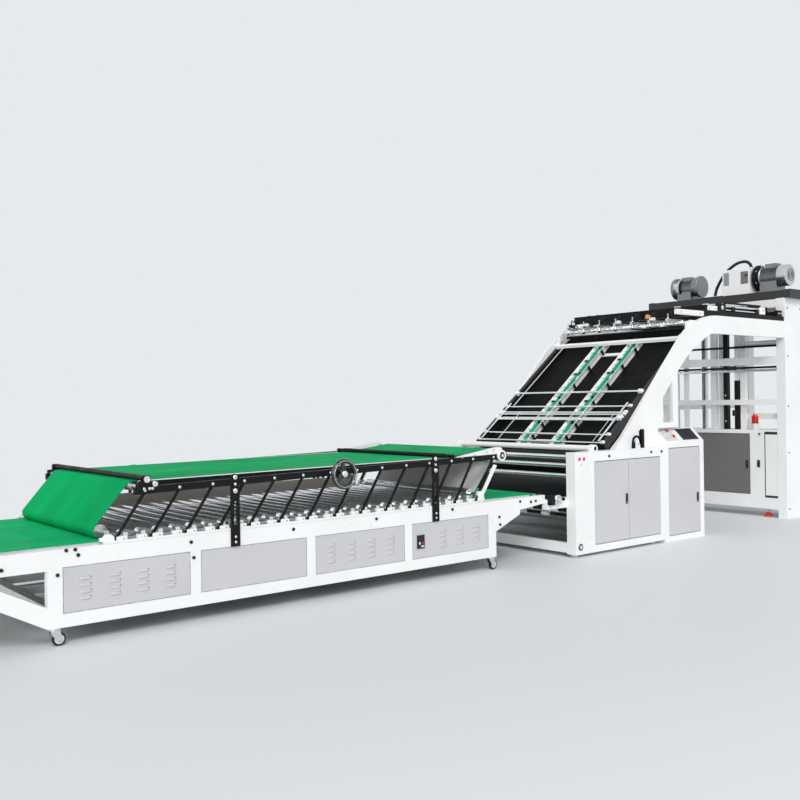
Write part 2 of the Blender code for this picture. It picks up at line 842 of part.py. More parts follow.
def top_rail_low(x):
    share = (x - PRESS_LEFT - TOP_RAIL_LEFT) / (TOP_RAIL_RIGHT - TOP_RAIL_LEFT)
    return TOP_RAIL_LOW_LEFT + share * (TOP_RAIL_LOW_RIGHT - TOP_RAIL_LOW_LEFT)


def left_guide_bar():
    x = PRESS_LEFT + UPPER_BELT_HEAD + GUIDE_BAR_SHIFT
    z = UPPER_BELT_TOP + BELT_T / 2 + GUIDE_BAR_R + GUIDE_BAR_GAP
    half = GUIDE_BLOCK_W / 2
    bar = cylinder("guide_bar_left", (x, -UPPER_INNER - SEAT, z), (x, UPPER_INNER + SEAT, z),
                   GUIDE_BAR_R)
    blocks = []
    for side in (-1, 1):
        y_low, y_high = span(side, UPPER_INNER, PRESS_HALF)
        foot = top_rail_low(x + half) + TOP_RAIL_H + FIT
        blocks.append(box(f"block_{side}", (x - half, y_low, foot),
                          (x + half, y_high, z + GUIDE_BLOCK_OVER)))
    dress(join(bar, *blocks), BLACK)


left_guide_bar()


def comb(centres, left, right, base, top, half_tooth, tooth_top):
    """A rail's outline with a tooth under each roller."""
    points = [(left, base), (right, base), (right, top)]
    for x in reversed(centres):
        points += [(x + half_tooth, top), (x + half_tooth, tooth_top), (x - half_tooth, tooth_top),
                   (x - half_tooth, top)]
    return points + [(left, top)]


def press_rollers():
    """The row of steel rollers that weigh on the sheets, between a toothed rail and a far plate."""
    inner = UPPER_INNER - FIT - BEARING_RAIL_T
    low = FRAME_TOP + FIT
    first = PRESS_LEFT + PRESS_ROLLER_FIRST
    pitch = (PRESS_ROLLER_LAST - PRESS_ROLLER_FIRST) / (PRESS_ROLLER_COUNT - 1)
    centres = [first + index * pitch for index in range(PRESS_ROLLER_COUNT)]
    left = centres[0] - BEARING_TOOTH_W
    right = centres[-1] + BEARING_TOOTH_W
    z = UPPER_RUN_Z + BELT_T / 2 + FIT + PRESS_ROLLER_R
    rail = comb(centres, left, right, low, low + BEARING_RAIL_H, BEARING_TOOTH_W / 2,
                z + BEARING_TOOTH_OVER)
    near = side_plate("press_rollers", [rail], -UPPER_INNER + FIT, -inner)
    far = box("rail_far", (left, inner, low), (right, UPPER_INNER - FIT, FAR_PLATE_TOP))
    row = roller("roller_row", first, z, PRESS_ROLLER_R, ROLLER_FACE_HALF,
                 inner + BEARING_RAIL_T / 2, shaft=ROLLER_SHAFT_R, sides=12)
    array = row.modifiers.new("row", "ARRAY")
    array.count = PRESS_ROLLER_COUNT
    array.use_relative_offset = False
    array.use_constant_offset = True
    array.constant_offset_displace = (pitch, 0, 0)
    dress(join(near, row, far), STEEL)


press_rollers()


def support_arm(side, label, number, x, top):
    """A slotted arm against the side frame, with the bolt that holds it to the top rail."""
    y_low, y_high = span(side, PRESS_HALF + FIT, PRESS_HALF + FIT + ARM_T)
    crown = (ARM_W - ARM_CROWN_FLAT) / 2
    low = (x - ARM_W / 2, ARM_BOTTOM)
    high = (x + ARM_W / 2, top)
    outline, _ = rounded_outline([(*low, ARM_CORNER), (high[0], low[1], ARM_CORNER),
                                  (*high, crown), (low[0], high[1], crown)], 4)
    slot = rectangle(x - ARM_SLOT_W / 2, ARM_BOTTOM + ARM_SLOT_LOW, x + ARM_SLOT_W / 2,
                     ARM_BOTTOM + ARM_SLOT_HIGH)
    arm = side_plate(f"support_arm_{label}_{number}", [outline, slot], y_low, y_high)
    z = top_rail_low(x) + TOP_RAIL_H / 2
    bolt = cylinder(f"arm_bolt_{label}_{number}", (x, side * (PRESS_HALF - SEAT), z),
                    (x, side * (PRESS_HALF + FIT + ARM_T + BOLT_HEAD), z), BOLT_R, 12)
    return [arm, bolt]


def handwheel_boss():
    x = PRESS_LEFT + WHEEL_X
    z = WHEEL_Z
    face = -PRESS_HALF
    boss = cylinder("handwheel_boss", (x, face - BOSS_L, z), (x, face + UPPER_T / 2, z), BOSS_R)
    bore = cylinder("boss_bore", (x, face - 2 * BOSS_L, z), (x, face - BOSS_FLOOR, z),
                    WHEEL_SHAFT_R + WHEEL_SHAFT_GAP)
    return cut(boss, bore)


def upper_frame(side, label):
    """Top rail on leaning struts, with the feet and bearing brackets."""
    left = PRESS_LEFT
    base = FRAME_TOP + FIT
    strip = base + STRIP_H
    pitch = (STRUT_LAST - STRUT_FIRST) / (STRUT_COUNT - 1)

    def edge(foot, z):
        share = (z - base) / (top_rail_low(left + foot + STRUT_LEAN) - base)
        return left + foot + STRUT_LEAN * share

    def up(foot, from_z):
        return (edge(foot, from_z), from_z)

    def rail(foot):
        x = left + foot + STRUT_LEAN
        return (x, top_rail_low(x))

    first = STRUT_FIRST - STRUT_W / 2
    last = STRUT_LAST + STRUT_W / 2
    foot_x = FOOT_CENTRE.x
    heel_x = HEEL_CENTRE.x
    half = HEEL_BRACKET_W / 2
    top_left = left + TOP_RAIL_LEFT
    top_right = left + TOP_RAIL_RIGHT
    bracket = base + HEEL_BRACKET_H
    outer = [
        (foot_x - half, base), (heel_x + half, base), (heel_x + half, bracket),
        up(last, bracket), rail(last), (top_right, top_rail_low(top_right)),
        (top_right, top_rail_low(top_right) + TOP_RAIL_H),
        (top_left, top_rail_low(top_left) + TOP_RAIL_H), (top_left, top_rail_low(top_left)),
        rail(first), up(first, bracket), (foot_x - half, bracket),
    ]
    loops = [outer]
    for index in range(STRUT_COUNT - 1):
        a = STRUT_FIRST + index * pitch + STRUT_W / 2
        b = a + pitch - STRUT_W
        loops.append([up(a, strip), up(b, strip), rail(b), rail(a)])
    y_low, y_high = span(side, UPPER_INNER, PRESS_HALF)
    frame = side_plate("upper_frame_" + label, loops, y_low, y_high)
    pieces = support_arm(side, label, 1, left + ARM_FIRST, ARM_FIRST_TOP)
    pieces += support_arm(side, label, 2, left + ARM_LAST, ARM_LAST_TOP)
    if side < 0:
        pieces.append(handwheel_boss())
    dress(join(frame, *pieces), BLACK)


both_sides(upper_frame)


def handwheel():
    """The handwheel on its shaft, in the bearing boss on the near top rail."""
    x = PRESS_LEFT + WHEEL_X
    z = WHEEL_Z
    face = -PRESS_HALF
    plane = face - WHEEL_OUT
    bm = bmesh.new()
    ring = []
    for i in range(WHEEL_RIM_STEPS):
        angle = 2 * math.pi * i / WHEEL_RIM_STEPS
        circle = []
        for j in range(WHEEL_TUBE_STEPS):
            around = 2 * math.pi * j / WHEEL_TUBE_STEPS
            reach = WHEEL_R - WHEEL_RIM_R + WHEEL_RIM_R * math.cos(around)
            circle.append(bm.verts.new((reach * math.cos(angle), reach * math.sin(angle),
                                        WHEEL_RIM_R * math.sin(around))))
        ring.append(circle)
    for i in range(WHEEL_RIM_STEPS):
        for j in range(WHEEL_TUBE_STEPS):
            a = ring[i]
            b = ring[(i + 1) % WHEEL_RIM_STEPS]
            k = (j + 1) % WHEEL_TUBE_STEPS
            bm.faces.new((a[j], b[j], b[k], a[k]))
    wheel = from_bmesh("handwheel", bm, (x, plane, z))
    wheel.rotation_euler = (math.radians(90), 0, 0)
    half = WHEEL_HUB_L / 2
    hub = cylinder("wheel_hub", (x, plane - half, z), (x, plane + half, z), WHEEL_HUB_R)
    shaft = cylinder("wheel_shaft", (x, plane, z), (x, face - BOSS_FLOOR - FIT, z),
                     WHEEL_SHAFT_R, 16)
    spokes = []
    for i in range(WHEEL_SPOKES):
        angle = 2 * math.pi * (i + 0.25) / WHEEL_SPOKES
        reach = WHEEL_R - WHEEL_RIM_R
        end = (x + reach * math.cos(angle), plane, z + reach * math.sin(angle))
        spokes.append(cylinder(f"spoke_{i}", (x, plane, z), end, WHEEL_SPOKE_R, 8))
    dress(join(wheel, hub, shaft, *spokes), BLACK)


handwheel()


def caster(label, x, y):
    """A swivel caster: the fork turns under the frame and the wheel turns in the fork."""
    top = FRAME_BOTTOM - FIT
    axle_x = x + CASTER_TRAIL
    inner = CASTER_WHEEL_W / 2 + CASTER_SIDE_GAP
    outer = inner + CASTER_CHEEK_T
    pivot = empty(f"caster_{label}_swivel", (x, y, top))
    disc = cylinder(f"caster_fork_{label}", (x, y, top - CASTER_DISC_T), (x, y, top),
                    CASTER_DISC_R)
    pieces = []
    for side in (-1, 1):
        y_low, y_high = span(side, inner, outer)
        half = CASTER_FORK_HALF
        tip = CASTER_WHEEL_R - CASTER_FORK_TIP
        neck = top - CASTER_FORK_NECK
        crown = top - CASTER_DISC_T / 2
        outline = [(x - half, crown), (x - half, neck), (axle_x - CASTER_FORK_TIP, tip),
                   (axle_x + CASTER_FORK_TIP, tip), (x + half + CASTER_FORK_BULGE, neck),
                   (x + half, crown)]
        pieces.append(side_plate(f"cheek_{label}_{side}", [outline], y + y_low, y + y_high))
    end = outer - CASTER_AXLE_SHY
    pieces.append(cylinder(f"axle_{label}", (axle_x, y - end, CASTER_WHEEL_R),
                           (axle_x, y + end, CASTER_WHEEL_R), CASTER_PIN_R, 16))
    attach(join(dress(disc, STEEL), *pieces), pivot)
    half = CASTER_WHEEL_W / 2
    shoulder = CASTER_WHEEL_R - CASTER_WHEEL_CHAMFER
    tread = half - CASTER_WHEEL_CHAMFER
    profile = [(CASTER_BORE_R, half), (shoulder, half), (CASTER_WHEEL_R, tread),
               (CASTER_WHEEL_R, -tread), (shoulder, -half), (CASTER_BORE_R, -half)]
    wheel = turned(f"caster_wheel_{label}", profile, (axle_x, y, CASTER_WHEEL_R), sides=20)
    attach(dress(wheel, RUBBER), pivot)


def casters():
    for end, x in (("left", PRESS_LEFT + POST_W / 2), ("right", PRESS_RIGHT - POST_W / 2)):
        for side, label in ((-1, "near"), (1, "far")):
            caster(f"{label}_{end}", x, side * (PRESS_HALF - FRAME_T / 2))


casters()

# Gluing unit

UNIT_BACK = UNIT_RIGHT + WALL_BACK


def unit_wall(side, label):
    """Side wall that rises as an arch and runs on as a beam to the tower."""
    knee_z = ARCH_TOP
    corners = [
        (UNIT_LEFT, UNIT_BOTTOM, 0), (UNIT_RIGHT - FIT, UNIT_BOTTOM, 0),
        (UNIT_RIGHT - FIT, WALL_STEP_Z, 0), (UNIT_BACK, WALL_STEP_Z, 0),
        (UNIT_BACK, ARCH_INNER_FOOT, ARCH_SHOULDER_R),
        (UNIT_BACK + ARCH_INNER_MID, ARCH_INNER_MID_Z, ARCH_INNER_R),
        (UNIT_BACK + ARCH_INNER_END, ARCH_TOP - BEAM_H, ARCH_INNER_R),
        (TOWER_LEFT - FIT, ARCH_TOP - BEAM_H, 0), (TOWER_LEFT - FIT, ARCH_TOP, 0),
        (UNIT_LEFT + ARCH_KNEE, knee_z, ARCH_KNEE_R),
        (UNIT_LEFT + ARCH_FOOT, UNIT_TOP, 0), (UNIT_LEFT, UNIT_TOP, 0),
    ]
    outline, _ = rounded_outline(corners, 8)
    slot_left = UNIT_RIGHT + SLOT_LEFT
    slot = [(slot_left, SLOT_BOTTOM), (slot_left + SLOT_W, SLOT_BOTTOM),
            (slot_left + SLOT_W, SLOT_TOP), (slot_left, SLOT_SHOULDER)]
    window_left = UNIT_LEFT + FOOT_WINDOW_LEFT
    window = [(window_left, FOOT_WINDOW_BOTTOM),
              (window_left + FOOT_WINDOW_W, FOOT_WINDOW_BOTTOM),
              (window_left + FOOT_WINDOW_W, FOOT_WINDOW_TOP),
              (window_left, FOOT_WINDOW_SHOULDER)]
    y_low, y_high = span(side, WALL_INNER, UNIT_HALF)
    wall = side_plate("arch_wall_" + label, [outline, slot, window], y_low, y_high)
    middle = (y_low + y_high) / 2
    feet = []
    for number, x in enumerate((UNIT_LEFT + FOOT_LEFT_INSET, UNIT_RIGHT - FOOT_RIGHT_INSET)):
        feet.append(cylinder(f"foot_{label}_{number}", (x, middle, 0), (x, middle, FOOT_T), FOOT_R))
        feet.append(cylinder(f"foot_stem_{label}_{number}", (x, middle, FOOT_T / 2),
                             (x, middle, UNIT_BOTTOM + SEAT), FOOT_STEM_R, 12))
    y_low, y_high = span(side, PRESS_HALF - LINK_W, WALL_INNER + LINK_SEAT)
    link_arm = box(f"link_arm_{label}", (OVERHANG_TIP + FIT, y_low, LINK_BOTTOM),
                   (UNIT_LEFT + LINK_LAP, y_high, LINK_TOP))
    dress(join(wall, link_arm, *feet), WHITE)


both_sides(unit_wall)

FIELD_LEFT = UNIT_LEFT + DOOR_FIELD_LEFT
FIELD_RIGHT = UNIT_RIGHT - DOOR_FIELD_MARGIN
DOOR_SEAM = (FIELD_LEFT + FIELD_RIGHT) / 2


def handle(name, x, side):
    """A low pull that stands a little out of a door or sheet."""
    y_low, y_high = span(side, COVER_FRONT - PANEL_RECESS - HANDLE_SEAT,
                        COVER_FRONT + HANDLE_OUT)
    return box(name, (x - HANDLE_W / 2, y_low, HANDLE_Z - HANDLE_H / 2),
               (x + HANDLE_W / 2, y_high, HANDLE_Z + HANDLE_H / 2))


def unit_cover(side, label):
    """Housing frame outside the wall; the far one has a fixed sheet in place of doors."""
    outer = rectangle(UNIT_LEFT, UNIT_BOTTOM, UNIT_RIGHT - FIT, UNIT_TOP)
    field = rectangle(FIELD_LEFT, DOOR_FIELD_BOTTOM, FIELD_RIGHT, DOOR_FIELD_TOP)
    y_low, y_high = span(side, UNIT_HALF + FIT, COVER_FRONT)
    cover = dress(side_plate("unit_cover_" + label, [outer, field], y_low, y_high), WHITE)
    if side > 0:
        front = COVER_FRONT - PANEL_RECESS
        sheet = box("far_sheet", (FIELD_LEFT - SEAT, front - DOOR_T, DOOR_FIELD_BOTTOM - SEAT),
                    (FIELD_RIGHT + SEAT, front, DOOR_FIELD_TOP + SEAT))
        join(cover, sheet, handle("far_handle", DOOR_SEAM, side))


both_sides(unit_cover)


def door(name, hinge, free, low, high, handle_x, finish=GREY):
    """An inset leaf on the operator side, on pins at its hinge edge."""
    turn = 1 if free > hinge else -1
    edge = hinge + turn * DOOR_GAP
    x_low, x_high = sorted((edge, free))
    z_low, z_high = low + DOOR_GAP, high - DOOR_GAP
    axis_x = edge + turn * PIN_INSET
    axis_y = -COVER_FRONT + PIN_INSET
    pivot = empty(name + "_hinge", (axis_x, axis_y, z_low))
    leaf = box(name, (x_low, -COVER_FRONT, z_low), (x_high, -COVER_FRONT + DOOR_T, z_high))
    pin = cylinder(name + "_pin", (axis_x, axis_y, low + FIT), (axis_x, axis_y, high - FIT),
                   PIN_R, 12)
    pieces = [pin]
    if handle_x is not None:
        pieces.append(handle(name + "_handle", handle_x, -1))
    attach(join(dress(leaf, finish), *pieces), pivot)


def unit_doors():
    half = DOOR_GAP / 2
    door("unit_door_left", FIELD_LEFT, DOOR_SEAM - half, DOOR_FIELD_BOTTOM, DOOR_FIELD_TOP,
         DOOR_SEAM - half - HANDLE_EDGE)
    door("unit_door_right", FIELD_RIGHT, DOOR_SEAM + half, DOOR_FIELD_BOTTOM, DOOR_FIELD_TOP, None)


unit_doors()


def control_profile(side):
    """Outline across the control cabinet, with its sloping desk."""
    back = COVER_FRONT - CONTROL_DEPTH
    points = [(COVER_FRONT, 0.0), (COVER_FRONT, CONTROL_TOP),
              (back + CONTROL_LIP, CONTROL_BACK_TOP), (back, CONTROL_BACK_TOP), (back, 0.0)]
    return [(side * y, z) for y, z in points]


def control_cabinets():
    near = cross_plate("control_cabinet", [control_profile(-1)], UNIT_RIGHT, CONTROL_RIGHT)
    left = UNIT_RIGHT + CONTROL_FIELD_SIDE
    right = CONTROL_RIGHT - CONTROL_FIELD_SIDE
    back = COVER_FRONT - CONTROL_DEPTH
    room = box("control_room", (left, -COVER_FRONT - CUT_OVER, CONTROL_FIELD_BOTTOM),
               (right, -back - CONTROL_WALL, CONTROL_FIELD_TOP))
    dress(cut(near, room), WHITE)
    door("control_door", left, right - DOOR_GAP, CONTROL_FIELD_BOTTOM, CONTROL_FIELD_TOP,
         right - DOOR_GAP - HANDLE_EDGE)
    far = cross_plate("drive_cabinet", [control_profile(1)], UNIT_RIGHT, CONTROL_RIGHT)
    dress(far, WHITE)


control_cabinets()


def unit_base():
    """Cross beams and rails between the two side walls."""
    low = BASE_BEAM_Z
    high = low + BASE_BEAM_H
    reach = WALL_INNER - FIT
    last = UNIT_RIGHT - BASE_BEAM_W - BASE_END_GAP
    front = box("unit_base", (UNIT_LEFT, -reach, low), (UNIT_LEFT + BASE_BEAM_W, reach, high))
    rear = box("base_rear", (last, -reach, low), (last + BASE_BEAM_W, reach, high))
    rails = []
    for side in (-1, 1):
        y_low, y_high = span(side, BASE_RAIL_Y, BASE_RAIL_Y + BASE_BEAM_W)
        rails.append(box(f"base_rail_{side}",
                         (UNIT_LEFT + BASE_BEAM_W / 2, y_low, low + BASE_RAIL_SHY),
                         (last + BASE_BEAM_W / 2, y_high, high - BASE_RAIL_SHY)))
    dress(join(front, rear, *rails), WHITE)


unit_base()


def glue_tray():
    """Stepped tray between the side walls, under the rollers."""
    reach = WALL_INNER - FIT
    x = UNIT_LEFT + BASE_BEAM_W / 2
    z = BASE_BEAM_Z + BASE_BEAM_H + FIT
    upper = []
    for step in range(TRAY_STEPS):
        upper.append((x + step * TRAY_STEP_L, z + TRAY_T + step * TRAY_STEP_H))
        upper.append((x + (step + 1) * TRAY_STEP_L, z + TRAY_T + step * TRAY_STEP_H))
    lower = []
    for step in range(TRAY_STEPS):
        lower.append((x + step * TRAY_STEP_L + TRAY_T, z + step * TRAY_STEP_H))
        lower.append((x + (step + 1) * TRAY_STEP_L + TRAY_T, z + step * TRAY_STEP_H))
    lower[0] = (x, z)
    lower[-1] = (upper[-1][0], lower[-1][1])
    dress(side_plate("glue_tray", [upper + lower[::-1]], -reach, reach), STEEL)


glue_tray()


def unit_rollers():
    face = UNIT_ROLLER_HALF
    reach = WALL_INNER - FIT
    x = UNIT_LEFT + GLUE_ROLLER_X
    roller("glue_roller", x, GLUE_ROLLER_Z, GLUE_ROLLER_R, face, reach, STEEL, GLUE_SHAFT_R, 32)
    roller("nip_roller", x, NIP_ROLLER_Z, NIP_ROLLER_R, face, reach, RUBBER, NIP_SHAFT_R, 32)
    x = UNIT_LEFT + ENTRY_ROD_X
    left = x - ENTRY_PLATE_LEAD
    right = left + ENTRY_PLATE_W
    plate_inner = reach - ENTRY_PLATE_T
    low = ENTRY_ROD_HEIGHTS[0] - ENTRY_PLATE_UNDER
    high = ENTRY_ROD_HEIGHTS[-1] + ENTRY_PLATE_OVER
    rack = box("entry_rods", (left, -reach, low), (right, -plate_inner, high))
    far = box("entry_far", (left, plate_inner, low), (right, reach, high))
    end = plate_inner + ENTRY_ROD_SEAT
    rods = []
    for index, z in enumerate(ENTRY_ROD_HEIGHTS):
        rods.append(cylinder(f"entry_rod_{index}", (x, -end, z), (x, end, z), ENTRY_ROD_R))
    dress(join(rack, far, *rods), STEEL)


unit_rollers()


def on_slope(obj, along, lift):
    """Puts a piece made round its own middle on the incline."""
    obj.location = (UNIT_LEFT + INCLINE_FOOT_X + along * math.cos(SLOPE) - lift * math.sin(SLOPE),
                    obj.location.y,
                    INCLINE_FOOT_Z + along * math.sin(SLOPE) + lift * math.cos(SLOPE))
    obj.rotation_euler = (0, -SLOPE, 0)
    return obj


def slope_box(name, along_low, along_high, y_low, y_high, lift_low, lift_high):
    size = ((along_high - along_low) / 2, (y_high - y_low) / 2, (lift_high - lift_low) / 2)
    obj = box(name, [-half for half in size], size)
    obj.location = (0, (y_low + y_high) / 2, 0)
    return on_slope(obj, (along_low + along_high) / 2, (lift_low + lift_high) / 2)


def slope_rod(name, along, lift, reach, radius):
    x = UNIT_LEFT + INCLINE_FOOT_X + along * math.cos(SLOPE) - lift * math.sin(SLOPE)
    z = INCLINE_FOOT_Z + along * math.sin(SLOPE) + lift * math.cos(SLOPE)
    return cylinder(name, (x, -reach, z), (x, reach, z), radius, 12)


def slope_channel(name, middle, floor):
    """An open channel that runs up the incline."""
    half = CHANNEL_W / 2
    outline = [(-half, 0), (half, 0), (half, CHANNEL_H), (half - CHANNEL_T, CHANNEL_H),
               (half - CHANNEL_T, CHANNEL_FLOOR), (CHANNEL_T - half, CHANNEL_FLOOR),
               (CHANNEL_T - half, CHANNEL_H), (-half, CHANNEL_H)]
    length = INCLINE_LENGTH - 2 * CHANNEL_END_GAP
    channel = cross_plate(name, [outline], -length / 2, length / 2)
    x = UNIT_LEFT + INCLINE_FOOT_X + INCLINE_LENGTH / 2 * math.cos(SLOPE) - floor * math.sin(SLOPE)
    z = INCLINE_FOOT_Z + INCLINE_LENGTH / 2 * math.sin(SLOPE) + floor * math.cos(SLOPE)
    place = Matrix.Translation((x, middle, z)) @ Matrix.Rotation(-SLOPE, 4, "Y")
    channel.matrix_world = place @ channel.matrix_world
    return channel


def incline():
    reach = WALL_INNER - FIT
    board_top = -BOARD_DROP
    board = slope_box("incline_board", 0, INCLINE_LENGTH, -reach, reach, board_top - BOARD_T,
                      board_top)
    dress(board, BLACK)
    floor = board_top + FIT
    channels = []
    for side, label in ((-1, "near"), (1, "far")):
        middle = side * CHANNEL_Y
        channels.append(slope_channel("incline_channel_" + label, middle, floor))
        strap = slope_box("incline_belt_" + label, STRAP_END_GAP, INCLINE_LENGTH - STRAP_END_GAP,
                          middle - CHANNEL_BELT_W / 2, middle + CHANNEL_BELT_W / 2,
                          floor + CHANNEL_FLOOR + FIT, floor + CHANNEL_FLOOR + CHANNEL_BELT_T)
        dress(strap, GREEN)
    pieces = [channels[1]]
    for index, along in enumerate(TIE_PLACES):
        pieces.append(slope_box(f"tie_{index}", along, along + TIE_W, -CHANNEL_Y, CHANNEL_Y,
                                floor, floor + CHANNEL_FLOOR))
    channels[0].name = "incline_channels"
    dress(join(channels[0], *pieces), WHITE)
    rail = slope_box("incline_rods", 0, INCLINE_LENGTH, -reach, -reach + SIDE_RAIL_W, floor,
                     floor + SIDE_RAIL_H)
    pieces = [slope_box("rail_far", 0, INCLINE_LENGTH, reach - SIDE_RAIL_W, reach, floor,
                        floor + SIDE_RAIL_H)]
    for index, along in enumerate(ROD_PLACES):
        pieces.append(slope_rod(f"slope_rod_{index}", along, 0.0, reach - SEAT, ROD_R))
    dress(join(rail, *pieces), STEEL)


incline()


def feeder_head():
    """Bar across the arch top, with a row of sucker arms."""
    x = UNIT_LEFT + HEAD_X
    reach = WALL_INNER - FIT
    bar = cylinder("feeder_head", (x, -reach, HEAD_Z), (x, reach, HEAD_Z), HEAD_BAR_R)
    pieces = []
    half = HEAD_ARM_W / 2
    tip = x - HEAD_ARM_L + SUCKER_INSET
    first = HEAD_ARM_MARGIN - WALL_INNER
    pitch = -2 * first / (HEAD_ARMS - 1)
    for index in range(HEAD_ARMS):
        y = first + index * pitch
        pieces.append(box(f"head_arm_{index}", (x - HEAD_ARM_L, y - half, HEAD_Z + HEAD_ARM_LOW),
                          (x + HEAD_ARM_TAIL, y + half, HEAD_Z + HEAD_ARM_HIGH)))
        pieces.append(cylinder(f"sucker_{index}", (tip, y, HEAD_Z - SUCKER_DROP),
                               (tip, y, HEAD_Z + SUCKER_RISE), SUCKER_R, 10))
    dress(join(bar, *pieces), STEEL)


feeder_head()


def feeder_carriage():
    """Black frame that carries the feeder's drive, on top of the two arch beams."""
    reach = UNIT_HALF - CARRIAGE_SIDE_SHY
    low = ARCH_TOP + FIT
    left = UNIT_LEFT + CARRIAGE_LEFT
    right = TOWER_LEFT - CARRIAGE_END_GAP
    rails = []
    for side, name in ((-1, "feeder_carriage"), (1, "carriage_rail_far")):
        y_low, y_high = span(side, reach - CARRIAGE_RAIL_W, reach)
        rails.append(box(name, (left, y_low, low), (right, y_high, low + CARRIAGE_RAIL_H)))
    pieces = rails[1:]
    half = CARRIAGE_BEAM_W / 2
    foot = low + CARRIAGE_LIFT
    for index, share in enumerate(CARRIAGE_BEAMS):
        x = left + share * (right - left)
        pieces.append(box(f"carriage_beam_{index}", (x - half, -reach + SEAT, foot),
                          (x + half, reach - SEAT, low + CARRIAGE_BEAM_H)))
    drive_right = right - CARRIAGE_DRIVE_END
    drive_y = -UNIT_HALF + CARRIAGE_DRIVE_SIDE
    pieces.append(box("carriage_drive", (drive_right - CARRIAGE_DRIVE_L, drive_y, low + SEAT),
                      (drive_right, drive_y + CARRIAGE_DRIVE_W, low + CARRIAGE_DRIVE_H)))
    shy = CARRIAGE_SPINE_SHY
    pieces.append(box("carriage_spine", (left + SEAT, CARRIAGE_SPINE_Y[0], low + shy),
                      (right - 2 * shy, CARRIAGE_SPINE_Y[1], low + CARRIAGE_BEAM_H - shy)))
    dress(join(rails[0], *pieces), BLACK)


feeder_carriage()

# Feeder tower


def tower_side(side, label):
    """One side of the tower; the far one carries the beams that cross to the near one."""
    outer = rectangle(TOWER_LEFT, 0, TOWER_RIGHT, TOWER_HEIGHT)
    left = TOWER_LEFT + TOWER_FRONT_W
    right = TOWER_RIGHT - TOWER_REAR_W
    lower = rectangle(left, TOWER_SILL_H, right, TOWER_MID_Z)
    upper = rectangle(left, TOWER_MID_Z + TOWER_MID_H, right, TOWER_HEIGHT - TOWER_HEAD_H)
    y_low, y_high = span(side, TOWER_INNER, TOWER_HALF)
    plate = side_plate("tower_side_" + label, [outer, lower, upper], y_low, y_high)
    if side > 0:
        join(plate, *tower_beams())
    dress(plate, WHITE)


def tower_beams():
    """Cross beams at front and rear, and the posts and tube that stand in the front."""
    rear = TOWER_RIGHT - CROSS_BEAM_D
    places = [(TOWER_LEFT, low, high) for low, high in FRONT_BEAMS]
    places += [(rear, low, high) for low, high in REAR_BEAMS]
    beams = []
    for index, (x, low, high) in enumerate(places):
        beams.append(box(f"tower_beam_{index}", (x, -TOWER_INNER + FIT, low),
                         (x + CROSS_BEAM_D, TOWER_INNER + SEAT, high)))
    x = TOWER_LEFT + TOWER_POST_X
    half = TOWER_POST_W / 2
    for index, y in enumerate(TOWER_POSTS):
        beams.append(box(f"tower_post_{index}", (x, y - half, TOWER_BOX_TOP + FIT),
                         (x + TOWER_POST_W, y + half, TOP_BEAM[0] + TOWER_POST_SEAT)))
    near_end = -TOWER_INNER + FIT
    half_x = x + TOWER_POST_W - HALF_BEAM_LAP
    beams.append(box("half_beam", (half_x, near_end, HALF_BEAM[0]),
                     (half_x + HALF_BEAM_D, TOWER_POSTS[0], HALF_BEAM[1])))
    beams.append(cylinder("tower_tube", (x + half, near_end, TOWER_TUBE_Z),
                          (x + half, TOWER_POSTS[0], TOWER_TUBE_Z), TOWER_TUBE_R))
    return beams


both_sides(tower_side)


def tower_deck():
    low = TOWER_HEIGHT + FIT
    reach = TOWER_HALF + DECK_SIDE_OVER
    dress(box("tower_deck", (TOWER_LEFT, -reach, low), (TOWER_RIGHT, reach, low + DECK_T)), GREY)


tower_deck()
DECK_TOP = TOWER_HEIGHT + FIT + DECK_T


def tower_cabinet():
    """Low cabinet between the tower sides, with a door that faces the pile bay."""
    reach = TOWER_INNER - FIT
    right = TOWER_LEFT + TOWER_BOX_DEPTH
    shell = box("tower_cabinet", (TOWER_LEFT, -reach, TOWER_BOX_BOTTOM),
                (right, reach, TOWER_BOX_TOP))
    room = box("tower_room", (TOWER_LEFT - CUT_OVER, TOWER_DOOR_NEAR, TOWER_DOOR_BOTTOM),
               (right - TOWER_BOX_WALL, TOWER_DOOR_FAR, TOWER_DOOR_TOP))
    dress(cut(shell, room), WHITE)
    hinge_y = TOWER_DOOR_FAR - DOOR_GAP - PIN_INSET
    hinge_x = TOWER_LEFT + PIN_INSET
    z_low = TOWER_DOOR_BOTTOM + DOOR_GAP
    pivot = empty("tower_door_hinge", (hinge_x, hinge_y, z_low))
    leaf = box("tower_door", (TOWER_LEFT, TOWER_DOOR_NEAR + DOOR_GAP, z_low),
               (TOWER_LEFT + DOOR_T, TOWER_DOOR_FAR - DOOR_GAP, TOWER_DOOR_TOP - DOOR_GAP))
    pin = cylinder("tower_pin", (hinge_x, hinge_y, TOWER_DOOR_BOTTOM + FIT),
                   (hinge_x, hinge_y, TOWER_DOOR_TOP - FIT), PIN_R, 12)
    attach(join(dress(leaf, DARK), pin), pivot)


tower_cabinet()


def beacon():
    place = (TOWER_LEFT + BEACON_X, BEACON_Y, TOWER_BOX_TOP + FIT)
    dress(lathe("beacon", BEACON_PROFILE, place, 20), RED)


beacon()


